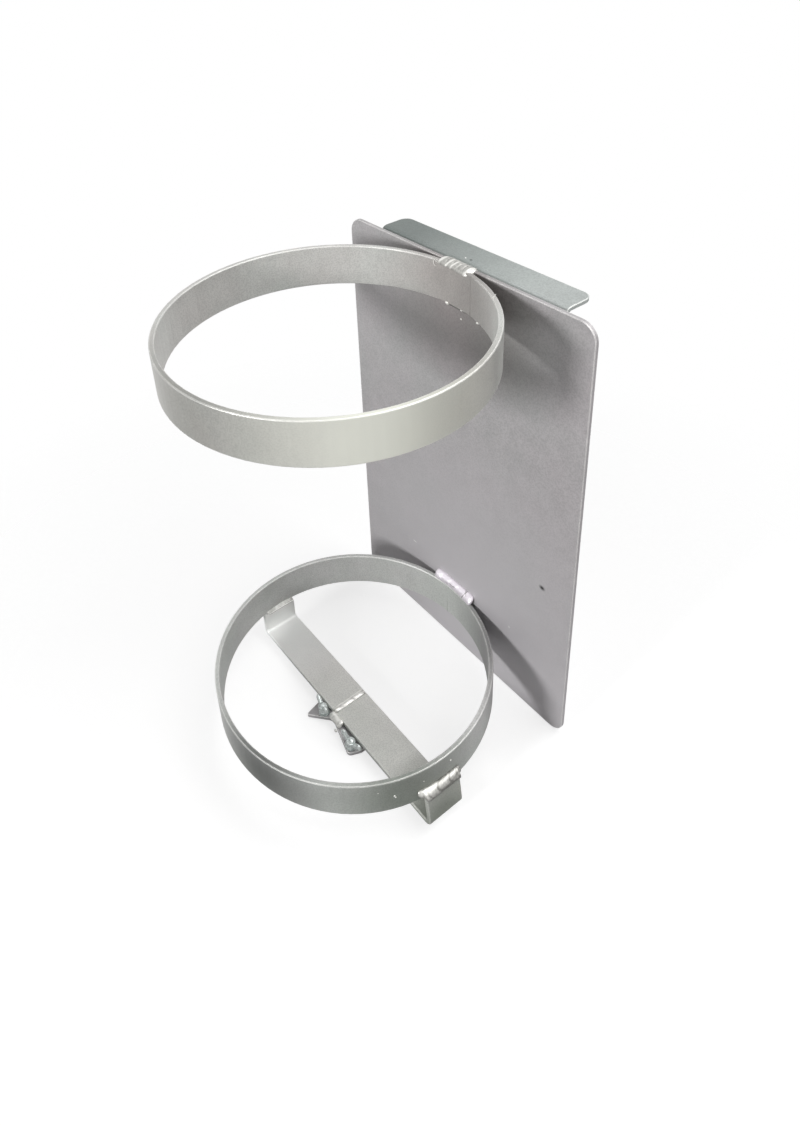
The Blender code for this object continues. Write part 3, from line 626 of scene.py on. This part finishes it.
def upper_top_seat(share):
    """Across the upper hoop's top edge and the plate's, up to the hook's bend."""
    x = between(TOP_WELD[0].x, TOP_WELD[1].x, share)
    top = UPPER_HOOP[1].z
    bend_y = PLATE_BACK + 2.2 * MM
    return (Vector((x, hoop_y(x, HOOP_BORE) - 1.1 * MM, top - between(1.4 * MM, 1.9 * MM, share))),
            Vector((x, bend_y, top - 1.2 * MM)),
            Vector((x, PLATE_FRONT, top - 3.2 * MM)))


def hoop_fillet_seat(x_from, x_to, edge_z, rise):
    """In the corner between a hoop's edge and the plate's front face."""
    down = -0.6 * MM if rise > 0 else 0.6 * MM

    def seat(share):
        x = between(x_from, x_to, share)
        return (Vector((x, hoop_y(x, HOOP_BORE) + 0.4 * MM, edge_z + down * 0.2)),
                Vector((x, PLATE_FRONT + 0.2 * MM, edge_z + rise)),
                Vector((x, PLATE_FRONT, edge_z + down)))
    return seat


def ridge_seat(share):
    """Across the strap where its two halves meet."""
    y = between(STRAP[0].y + 0.1 * MM, STRAP[1].y - 0.1 * MM, share)
    half_width = 2.5 * MM
    toe = STRAP_TOP - 0.25 * MM
    return (Vector((-half_width, y, toe)), Vector((half_width, y, toe)), Vector((0, y, STRAP_TOP - 1.5 * MM)))


def left_leg_seat(share):
    """Along the corner between the left leg's top and the lower hoop's bottom edge."""
    y = between(STRAP[0].y + 2.5 * MM, STRAP[1].y - 0.2 * MM, share)
    wall = -math.sqrt(HOOP_BORE ** 2 - (y - HOOP_CENTRE_Y) ** 2)
    edge = LOWER_HOOP[0].z
    leg = STRAP_LEFT[0].x + BAR_THICKNESS
    return (Vector((wall - 0.2 * MM, y, edge + 1.1 * MM)), Vector((leg + 0.1 * MM, y, edge - 1.0 * MM)),
            Vector((wall - 1.6 * MM, y, edge - 0.4 * MM)))


def right_leg_seat(share):
    """Between the lower hoop's outer wall and the top of the right leg."""
    y = between(STRAP[0].y - 2.6 * MM, STRAP[1].y + 2.6 * MM, share)
    wall = math.sqrt(HOOP_RADIUS ** 2 - (y - HOOP_CENTRE_Y) ** 2)
    top = STRAP[1].z
    inside = STRAP[0].y < y < STRAP[1].y
    toe_x = STRAP[1].x - 1.6 * MM if inside else wall + 2.2 * MM
    return (Vector((wall - 0.2 * MM, y, top + 3.2 * MM)), Vector((toe_x + 0.5 * MM, y, top - 1.3 * MM)),
            Vector((wall - 0.6 * MM, y, top - 2.0 * MM)))


def waist_seat(share):
    """Down from the ridge's front end, over the strap's front edge, on to the foot's waist."""
    x = between(WAIST_WELD[0].x - 0.5 * MM, WAIST_WELD[1].x - 0.5 * MM, share)
    front = STRAP[0].y
    waist_top = 6.9 * MM
    return (Vector((x, front + 0.2 * MM, STRAP_TOP - 0.1 * MM)), Vector((x, front - 4.0 * MM, waist_top)),
            Vector((x, front + 0.6 * MM, waist_top - 0.2 * MM)))


def stitch_seat(x_from, x_to):
    """Under the hook's hidden leg, against the plate's back."""
    leg_bottom = HOOK[0].z
    leg_back = HOOK[1].y - 18.7 * MM

    def seat(share):
        x = between(x_from, x_to, share)
        return (Vector((x, leg_back, leg_bottom + 0.2 * MM)),
                Vector((x, PLATE_BACK - 0.1 * MM, leg_bottom - 3.2 * MM)),
                Vector((x, PLATE_BACK - 0.1 * MM, leg_bottom + 0.5 * MM)))
    return seat


def bead_list():
    """Every bead, each with the solid that it replaces and how it lies.

    That is its seat, its length, its crown's height, the ripples' pitch, its seed, its ends' radius, its
    painted shine, and how deep its ripples are against the usual depth.
    """
    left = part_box("hook_stitch_left")
    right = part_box("hook_stitch_right")
    top, under, lower = (box[1].x - box[0].x for box in (TOP_WELD, UNDER_WELD, LOWER_WELD))
    lower_from, lower_to = LOWER_WELD[0].x - 0.8 * MM, LOWER_WELD[1].x - 0.8 * MM
    return [
        ("upper_hoop_weld_top", upper_top_seat, top, 2.8 * MM, 4.2 * MM, 2.0, 3.0 * MM, top_painted_shine, 0.7),
        ("upper_hoop_weld_under",
         hoop_fillet_seat(UNDER_WELD[0].x, UNDER_WELD[1].x, UPPER_HOOP[0].z, -2.4 * MM),
         under, 0.9 * MM, 6 * MM, 5.0, 2.5 * MM, under_painted_shine, 1.0),
        ("lower_hoop_weld_top", hoop_fillet_seat(lower_from, lower_to, LOWER_HOOP[1].z, 5.8 * MM),
         lower, 1.7 * MM, 8.5 * MM, 9.0, 3.0 * MM, pale, 0.6),
        ("strap_ridge_weld", ridge_seat, 24.8 * MM, 1.5 * MM, 9 * MM, 12.0, 2.0 * MM, ridged, 1.0),
        ("strap_left_weld", left_leg_seat, 22 * MM, 0.35 * MM, 4.5 * MM, 15.0, 2.0 * MM, dull, 1.0),
        ("strap_right_weld", right_leg_seat, 30 * MM, 1.6 * MM, 7.2 * MM, 18.0, 3.5 * MM, lobed, 0.2),
        ("foot_waist_weld", waist_seat, 12 * MM, 1.9 * MM, 5.6 * MM, 21.0, 2.2 * MM, smooth, 2.0),
        ("hook_stitch_left", stitch_seat(left[0].x, left[1].x),
         30 * MM, 1.0 * MM, 5 * MM, 24.0, 2.5 * MM, scaly, 1.0),
        ("hook_stitch_right", stitch_seat(right[0].x, right[1].x),
         30 * MM, 1.0 * MM, 5 * MM, 27.0, 2.5 * MM, scaly, 1.0),
    ]


def long_axis(points):
    """Middle and unit direction of the longest spread of some points."""
    places = np.array([tuple(p) for p in points])
    middle = places.mean(axis=0)
    directions = np.linalg.svd(places - middle)[2]
    return Vector(middle), Vector(directions[0])


def fastener_frame(side):
    """Foot point, axis, wing direction and heights of a side's stud and nut, from the solids."""
    stud = [v.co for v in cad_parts[f"{side}_stud"].data.vertices]
    middle, axis = long_axis(stud)
    if axis.z < 0:
        axis = -axis
    heights = [(p - middle).dot(axis) for p in stud]
    foot = middle + axis * min(heights)
    nut = [v.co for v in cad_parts[f"{side}_wing_nut"].data.vertices]
    flat = [p - axis * (p - foot).dot(axis) for p in nut]
    wings = long_axis(flat)[1]
    wings = (wings - axis * wings.dot(axis)).normalized()
    nut_heights = [(p - foot).dot(axis) for p in nut]
    return foot, axis, wings, max(heights) - min(heights), min(nut_heights), max(nut_heights)


def placed(foot, axis, wings):
    """Matrix whose Z runs up the stud and X along the wings."""
    across = axis.cross(wings)
    turn = Matrix((wings, across, axis)).transposed().to_4x4()
    return Matrix.Translation(foot) @ turn


def add_tube(bm, rings):
    """Adds a closed body from rings of points."""
    join_rings(bm, [[bm.verts.new(point) for point in ring] for ring in rings])


def threaded_stud(length, radius, pitch, depth):
    """A stud whose thread is one groove winding up its side, with its ends chamfered."""
    around = 28
    step = pitch / 6
    chamfer_height = 0.5 * MM
    chamfer_slope = 0.8
    rings = []
    for i in range(int(length / step) + 1):
        z = min(i * step, length)
        chamfer = chamfer_slope * max(0.0, chamfer_height - min(z, length - z))
        ring = []
        for j in range(around):
            turn = j / around
            phase = (z / pitch - turn) % 1
            groove = 1 - abs(2 * phase - 1)
            r = radius - depth * groove - chamfer
            angle = math.tau * turn
            ring.append((r * math.cos(angle), r * math.sin(angle), z))
        rings.append(ring)
    bm = bmesh.new()
    add_tube(bm, rings)
    return bm


def add_turning(bm, profile, around=36):
    """Adds a turned body from a closed list of (radius, height)."""
    rings = []
    for j in range(around):
        angle = math.tau * j / around
        rings.append([bm.verts.new((r * math.cos(angle), r * math.sin(angle), z)) for r, z in profile])
    count = len(profile)
    for j in range(around):
        here, after = rings[j], rings[(j + 1) % around]
        for i in range(count):
            k = (i + 1) % count
            bm.faces.new((here[i], here[k], after[k], after[i]))


def add_wing(bm, side, hub_radius, height, reach):
    """Adds one cast wing: a thick neck that leaves the hub and swells into a round, flattened lobe."""
    steps, around = 20, 20
    neck_width = 1.9 * MM
    lobe = 2.6 * MM
    neck_thickness = 1.6 * MM
    lobe_thickness = 1.35 * MM
    rings = []
    for i in range(steps + 1):
        share = i / steps
        out = between(hub_radius * 0.4, reach - 0.1 * MM, share)
        up = between(height * 0.36, height - lobe * 0.85, min(1, share * 1.5) ** 1.2)
        into_lobe = max(0.0, out - (reach - lobe)) / lobe
        swell = math.sqrt(max(0.0, 1 - into_lobe ** 2))
        half_width = between(neck_width, lobe, min(1, share * 1.6)) * max(swell, 0.12)
        half_thick = between(neck_thickness, lobe_thickness, share) * max(swell, 0.2) ** 0.7
        ring = []
        for j in range(around):
            angle = math.tau * j / around
            ring.append((side * out, half_thick * math.sin(angle), up + half_width * math.cos(angle)))
        rings.append(ring)
    add_tube(bm, rings)


def wing_nut(bore, base, height, reach):
    """A cast wing nut standing on z 0: a rounded hub with a turned foot and two lobed wings."""
    bm = bmesh.new()
    neck = base - 0.5 * MM
    hub = 5.0 * MM
    add_turning(bm, [
        (bore, 0.0), (base - 0.2 * MM, 0.0), (base, 0.2 * MM), (base, 0.7 * MM),
        (base - 0.2 * MM, 1.0 * MM), (neck + 0.1 * MM, 1.9 * MM), (neck, hub - 0.7 * MM),
        (neck - 0.2 * MM, hub - 0.25 * MM), (neck - 0.6 * MM, hub), (bore, hub)])
    for side in (-1, 1):
        add_wing(bm, side, neck, height, reach)
    return bm


DROPLETS = [
    # x, y, z in millimetres, which way its surface faces, and its size against a middling one
    (-0.9, 85.7, 300.4, (0, 0, 1), 0.55),
    (4.6, 77.15, 266.4, (0, -1, 0), 0.8),
    (-3.5, 74.1, 274.9, (-0.2, -0.9, -0.6), 2.1),
    (8.6, 73.6, 274.9, (0, -0.9, -0.6), 1.0),
    (25.0, 70.1, 274.9, (0.2, -0.9, -0.6), 1.3),
    (8.4, -35.7, 4.4, (0.3, -1, 0.2), 1.5),
    (-85.7, -3.8, 289.3, (1, 0, 0), 0.4),
    (-85.3, -1.0, 285.1, (1, 0, 0), 0.35),
    (-84.9, 1.8, 282.3, (1, 0, 0), 0.35),
    (-82.5, 12.5, 38.9, (1, -0.3, 0), 0.6),
]
WALL_DROPLETS = [
    # degrees round the lower hoop's outer wall, height in millimetres, size against a middling one
    (1.8, 44.3, 0.75),
    (4.5, 33.6, 1.1),
    (4.6, 31.9, 0.9),
    (-10.5, 41.0, 0.45),
    (-28.2, 43.6, 0.45),
    (-22.2, 38.1, 0.8),
    (-21.8, 36.6, 0.7),
]


def add_droplet(bm, place, facing, radius):
    """Adds a drop of spatter, flattened on to the surface it hit."""
    turn = Vector(facing).to_track_quat("Z", "Y").to_matrix().to_4x4()
    shape = Matrix.Translation(place) @ turn @ Matrix.Diagonal((radius, radius, radius * 0.62, 1))
    bmesh.ops.create_icosphere(bm, subdivisions=3, radius=1.0, matrix=shape)


# Slivers left on the upper hoop's edge: points along each in millimetres, and its radius at the root.
SLIVERS = [
    ([(-13.0, 72.9, 299.7), (-13.2, 72.5, 298.3), (-12.6, 72.4, 296.8), (-11.6, 72.6, 295.9),
      (-10.6, 72.8, 296.4)], 0.2 * MM),
    ([(-13.0, 73.0, 299.9), (-11.4, 72.3, 299.4), (-10.0, 72.6, 299.0), (-8.6, 73.1, 299.0)], 0.18 * MM),
    ([(43.2, 62.9, 299.8), (43.3, 63.5, 300.9), (43.7, 64.5, 302.2)], 0.32 * MM),
]


def add_sliver(bm, path, radius):
    """Adds a thin tapering strand along some points."""
    around = 8
    taper = 0.75
    angles = [math.tau * j / around for j in range(around)]
    rings = []
    for index, point in enumerate(path):
        ahead = path[min(index + 1, len(path) - 1)] - path[max(index - 1, 0)]
        turn = ahead.to_track_quat("Z", "Y").to_matrix()
        size = radius * (1 - taper * index / (len(path) - 1))
        rings.append([point + turn @ Vector((size * math.cos(a), size * math.sin(a), 0)) for a in angles])
    add_tube(bm, rings)


def paint_same_shine(bm, bright):
    """Gives every point of a mesh the same painted shine."""
    layer = bm.verts.layers.float.new("painted_shine")
    for vert in bm.verts:
        vert[layer] = bright


def seam_filler(hoop, seam_x):
    """The thin fill of a hoop's butt seam, just below the bar's faces."""
    gap = 0.34 * MM
    sink = 0.04 * MM
    angle = math.asin(seam_x / HOOP_RADIUS)
    outward = Vector((math.sin(angle), math.cos(angle), 0))
    along = Vector((outward.y, -outward.x, 0))
    middle_radius = HOOP_RADIUS - BAR_THICKNESS / 2
    centre = Vector((0, HOOP_CENTRE_Y, (hoop[0].z + hoop[1].z) / 2)) + outward * middle_radius
    turn = Matrix((along, outward, Vector((0, 0, 1)))).transposed().to_4x4()
    size = (gap, BAR_THICKNESS - 2 * sink, hoop[1].z - hoop[0].z - 2 * sink)
    shape = Matrix.Translation(centre) @ turn @ Matrix.Diagonal((*size, 1))
    bm = bmesh.new()
    bmesh.ops.create_cube(bm, size=1, matrix=shape)
    return bm


class BRACKET_OT_finish_metal(bpy.types.Operator):
    """Gives the plate, hook, foot, hoops and strap their satin coat"""

    bl_idname = "bracket.finish_metal"
    bl_label = "Finish sheet and bar"

    def execute(self, context):
        finish = context.scene.bracket_finish
        sheet = coated_steel("Satin zinc coat on sheet", finish.sheet_colour, finish, 0.5,
                             linear("fffcfd"), linear("f8f9f8"), SHEET_PAINTED_LIGHT_AND_SHADE)
        # The hoops get copies of one coat that differ by their painted light and shade.
        upper_bar = coated_steel("Satin zinc coat on the upper hoop", finish.bar_colour, finish, 0.44,
                                 linear("fffdfb"), linear("f9fcf9"), UPPER_BAR_PAINTED_LIGHT_AND_SHADE)
        lower_bar = coated_steel("Satin zinc coat on the lower hoop", finish.bar_colour, finish, 0.46,
                                 linear("fdfdfd"), linear("f7fbf8"), LOWER_BAR_PAINTED_SHADE)
        # A lit copy of the coat: painted paler for the light on the strap's upward faces.
        strap = coated_steel("Satin zinc coat on the strap with painted light", finish.strap_painted_light_colour, finish, 0.44,
                             linear("fefdfc"), linear("f9fbf8"), STRAP_PAINTED_LIGHT_AND_SHADE)
        hook = coated_steel("Cool satin zinc coat on the hook", finish.hook_colour, finish, 0.46,
                            linear("fdfefe"), linear("f8fbfa"), HOOK_PAINTED_SHADE)
        finish_node("top_hook", hook)
        for name in ("back_plate", "foot_plate"):
            finish_node(name, sheet)
        for name in ("strap_left", "strap_right"):
            finish_node(name, strap)
        for name, hoop, seam_x, coat in (
                ("upper_hoop", UPPER_HOOP, UPPER_SEAM_X, upper_bar),
                ("lower_hoop", LOWER_HOOP, LOWER_SEAM_X, lower_bar)):
            finish_node(name, coat)
            add_piece(f"{name}_seam_filler", seam_filler(hoop, seam_x), coat)
        return {"FINISHED"}


class BRACKET_OT_lay_welds(bpy.types.Operator):
    """Lays a rippled bead where each weld is, and the spatter beside them"""

    bl_idname = "bracket.lay_welds"
    bl_label = "Lay weld beads"

    def execute(self, context):
        welds = context.scene.bracket_welds
        finish = context.scene.bracket_finish
        metal = frozen_weld("Frozen weld metal with painted highlights", finish.weld_highlight_colour)
        lilac = frozen_weld("Lilac frozen weld metal with painted highlights", finish.lilac_weld_highlight_colour)
        for node, seat, length, crown, pitch, seed, end_radius, painted_shine, ripple in bead_list():
            depth = welds.ripple_depth * ripple
            rows = bead_rows(seat, length, crown, pitch, seed, depth, welds.bead_step, end_radius, painted_shine)
            froze = lilac if node == "lower_hoop_weld_top" else metal
            bead = add_piece(f"{node}_bead", bead_mesh(rows), froze)
            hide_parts(node)
        bm = bmesh.new()
        size = welds.droplet_size
        for x, y, z, facing, share in DROPLETS:
            add_droplet(bm, Vector((x, y, z)) * MM, facing, size * share)
        for degrees, z, share in WALL_DROPLETS:
            angle = math.radians(degrees)
            outward = Vector((math.cos(angle), math.sin(angle), 0))
            place = outward * HOOP_RADIUS + Vector((0, HOOP_CENTRE_Y, z * MM))
            add_droplet(bm, place, outward, size * share)
        # The spatter is painted near white: a painted highlight.
        paint_same_shine(bm, 0.95)
        add_piece("weld_spatter", bm, metal)
        bm = bmesh.new()
        for path, radius in SLIVERS:
            add_sliver(bm, [Vector(point) * MM for point in path], radius)
        # The burrs are painted near white: a painted highlight.
        paint_same_shine(bm, 0.9)
        add_piece("edge_burrs", bm, metal)
        return {"FINISHED"}


class BRACKET_OT_dress_fasteners(bpy.types.Operator):
    """Cuts the studs' threads and rounds the wing nuts"""

    bl_idname = "bracket.dress_fasteners"
    bl_label = "Dress studs and wing nuts"

    def execute(self, context):
        fasteners = context.scene.bracket_fasteners
        zinc = bright_zinc(context.scene.bracket_finish)
        for side in ("left", "right"):
            foot, axis, wings, length, nut_low, nut_high = fastener_frame(side)
            upright = placed(foot, axis, wings)
            stud_body = threaded_stud(length, STUD_RADIUS, fasteners.thread_pitch, fasteners.thread_depth)
            bmesh.ops.transform(stud_body, matrix=upright, verts=stud_body.verts)
            stud = add_piece(f"{side}_stud_thread", stud_body, zinc)
            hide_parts(f"{side}_stud")
            nut_body = wing_nut(STUD_RADIUS + 0.1 * MM, NUT_BASE_RADIUS, nut_high - nut_low, WING_REACH)
            raised = upright @ Matrix.Translation((0, 0, nut_low))
            bmesh.ops.transform(nut_body, matrix=raised, verts=nut_body.verts)
            nut = add_piece(f"{side}_wing_nut_cast", nut_body, zinc, 60)
            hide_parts(f"{side}_wing_nut")
            finish_node(f"{side}_washer", zinc)
        return {"FINISHED"}


def backdrop_rays(tree):
    """Two sockets: 1 for rays from the camera, off metal or through glass, and 1 for the camera's alone."""
    path = add_node(tree, "ShaderNodeLightPath").outputs
    seen = maths(tree, "MAXIMUM", path["Is Camera Ray"], path["Is Glossy Ray"])
    return maths(tree, "MAXIMUM", seen, path["Is Transmission Ray"]), path["Is Camera Ray"]


def pale_floor(studio):
    """Matt pale floor, white to the eye but for the object's faint shadow, fading into the backdrop."""
    material, tree = new_material("Matt pale floor")
    place = add_node(tree, "ShaderNodeTexCoord").outputs["Object"]
    fibre = grain(tree, place, 4 * MM, 2.0)
    seen, by_camera = backdrop_rays(tree)
    pale_fibre = level(tree, fibre, 0.4, 0.6, 0.0, 0.3)
    shade = mix_colour(tree, list(studio.floor_colour), linear("d8d8d8"), pale_fibre)
    faint = mix_colour(tree, linear("000000"), shade, level(tree, by_camera, 0.0, 1.0, *FLOOR_MATT))
    matt = add_node(tree, "ShaderNodeBsdfDiffuse", Color=mix_colour(tree, shade, faint, seen))
    strength = maths(tree, "MULTIPLY", seen, level(tree, by_camera, 0.0, 1.0, *FLOOR_GLOW))
    glow = add_node(tree, "ShaderNodeEmission", {"Color": linear("ffffff")}, Strength=strength)
    lit = add_node(tree, "ShaderNodeAddShader", i0=matt.outputs[0], i1=glow.outputs[0])
    clear = add_node(tree, "ShaderNodeBsdfTransparent")
    fade = level(tree, vector_maths(tree, "LENGTH", place), *FLOOR_FADE, 0.0, 1.0)
    both = add_node(tree, "ShaderNodeMixShader", i0=fade, i1=lit.outputs[0], i2=clear.outputs[0])
    add_node(tree, "ShaderNodeOutputMaterial", Surface=both.outputs[0])
    return material


def pale_world(studio):
    """White to the camera and in reflections, and an even soft sky as a light."""
    world = bpy.data.worlds.new("Pale studio")
    world.use_nodes = True
    tree = world.node_tree
    tree.nodes.clear()
    seen = backdrop_rays(tree)[0]
    strength = level(tree, seen, 0.0, 1.0, studio.sky_strength, 1.0)
    sky = add_node(tree, "ShaderNodeBackground", {"Color": (1, 1, 1, 1)}, Strength=strength)
    add_node(tree, "ShaderNodeOutputWorld", Surface=sky.outputs[0])
    return world


def add_lamp(name, place, size, power):
    """A soft square lamp aimed at the middle of the bracket."""
    lamp = bpy.data.lights.new(name, "AREA")
    lamp.size = size
    lamp.energy = power
    holder = bpy.data.objects.new(name, lamp)
    aim = (Vector(CAD_BOUNDS[0]) + Vector(CAD_BOUNDS[1])) / 2
    holder.location = place
    holder.rotation_euler = (Vector(place) - aim).to_track_quat("Z", "Y").to_euler()
    bpy.context.scene.collection.objects.link(holder)


def add_camera():
    """The camera that took the photograph."""
    lens = bpy.data.cameras.new("Camera")
    lens.lens = FOCAL_LENGTH_PX * lens.sensor_width / PHOTO_HEIGHT
    lens.shift_x = (PHOTO_WIDTH / 2 - OPTICAL_CENTRE[0]) / PHOTO_HEIGHT
    lens.shift_y = (OPTICAL_CENTRE[1] - PHOTO_HEIGHT / 2) / PHOTO_HEIGHT
    lens.clip_start = 0.01
    camera = bpy.data.objects.new("Camera", lens)
    level_x = Vector((math.cos(CAMERA_AZIMUTH), math.sin(CAMERA_AZIMUTH), 0))
    back = Vector((math.sin(CAMERA_AZIMUTH) * math.cos(CAMERA_ELEVATION),
                   -math.cos(CAMERA_AZIMUTH) * math.cos(CAMERA_ELEVATION), math.sin(CAMERA_ELEVATION)))
    level_y = back.cross(level_x)
    right = level_x * math.cos(CAMERA_ROLL) + level_y * math.sin(CAMERA_ROLL)
    turn = Matrix((right, back.cross(right), back)).transposed().to_4x4()
    camera.matrix_world = Matrix.Translation(CAMERA_PLACE) @ turn
    bpy.context.scene.collection.objects.link(camera)
    bpy.context.scene.camera = camera


class BRACKET_OT_set_studio(bpy.types.Operator):
    """Sets up the pale floor, the soft light and the camera"""

    bl_idname = "bracket.set_studio"
    bl_label = "Set up studio"

    def execute(self, context):
        studio = context.scene.bracket_studio
        bm = bmesh.new()
        bmesh.ops.create_grid(bm, x_segments=1, y_segments=1, size=FLOOR_HALF_SIDE)
        mesh = bpy.data.meshes.new("floor")
        bm.to_mesh(mesh)
        bm.free()
        mesh.materials.append(pale_floor(studio))
        floor = bpy.data.objects.new("floor", mesh)
        context.scene.collection.objects.link(floor)
        context.scene.world = pale_world(studio)
        add_lamp("Front key light", KEY_LAMP_PLACE, KEY_LAMP_SIZE, studio.lamp_power)
        add_lamp("Overhead soft light", OVERHEAD_LAMP_PLACE, OVERHEAD_LAMP_SIZE, studio.overhead_power)
        add_camera()
        context.scene.view_settings.view_transform = "Standard"
        return {"FINISHED"}


class BRACKET_PT_panel(bpy.types.Panel):
    """Sizes, colours and steps of the bracket's finish"""

    bl_idname = "BRACKET_PT_panel"
    bl_label = "Gas Cylinder Bracket"
    bl_space_type = "VIEW_3D"
    bl_region_type = "UI"
    bl_category = "Bracket"

    def draw(self, context):
        scene = context.scene
        for settings, step in (
                (scene.bracket_finish, "bracket.finish_metal"),
                (scene.bracket_welds, "bracket.lay_welds"),
                (scene.bracket_fasteners, "bracket.dress_fasteners"),
                (scene.bracket_studio, "bracket.set_studio")):
            box = self.layout.box()
            for name in settings.__annotations__:
                box.prop(settings, name)
            box.operator(step)


CLASSES = (
    BracketFinish,
    BracketWelds,
    BracketFasteners,
    BracketStudio,
    BRACKET_OT_finish_metal,
    BRACKET_OT_lay_welds,
    BRACKET_OT_dress_fasteners,
    BRACKET_OT_set_studio,
    BRACKET_PT_panel,
)


def register():
    for cls in CLASSES:
        bpy.utils.register_class(cls)
    bpy.types.Scene.bracket_finish = PointerProperty(type=BracketFinish)
    bpy.types.Scene.bracket_welds = PointerProperty(type=BracketWelds)
    bpy.types.Scene.bracket_fasteners = PointerProperty(type=BracketFasteners)
    bpy.types.Scene.bracket_studio = PointerProperty(type=BracketStudio)


def unregister():
    del bpy.types.Scene.bracket_studio
    del bpy.types.Scene.bracket_fasteners
    del bpy.types.Scene.bracket_welds
    del bpy.types.Scene.bracket_finish
    for cls in reversed(CLASSES):
        bpy.utils.unregister_class(cls)


def main():
    """Builds the whole scene."""
    register()
    bpy.ops.bracket.finish_metal()
    bpy.ops.bracket.lay_welds()
    bpy.ops.bracket.dress_fasteners()
    bpy.ops.bracket.set_studio()


if __name__ == "__main__":
    main()
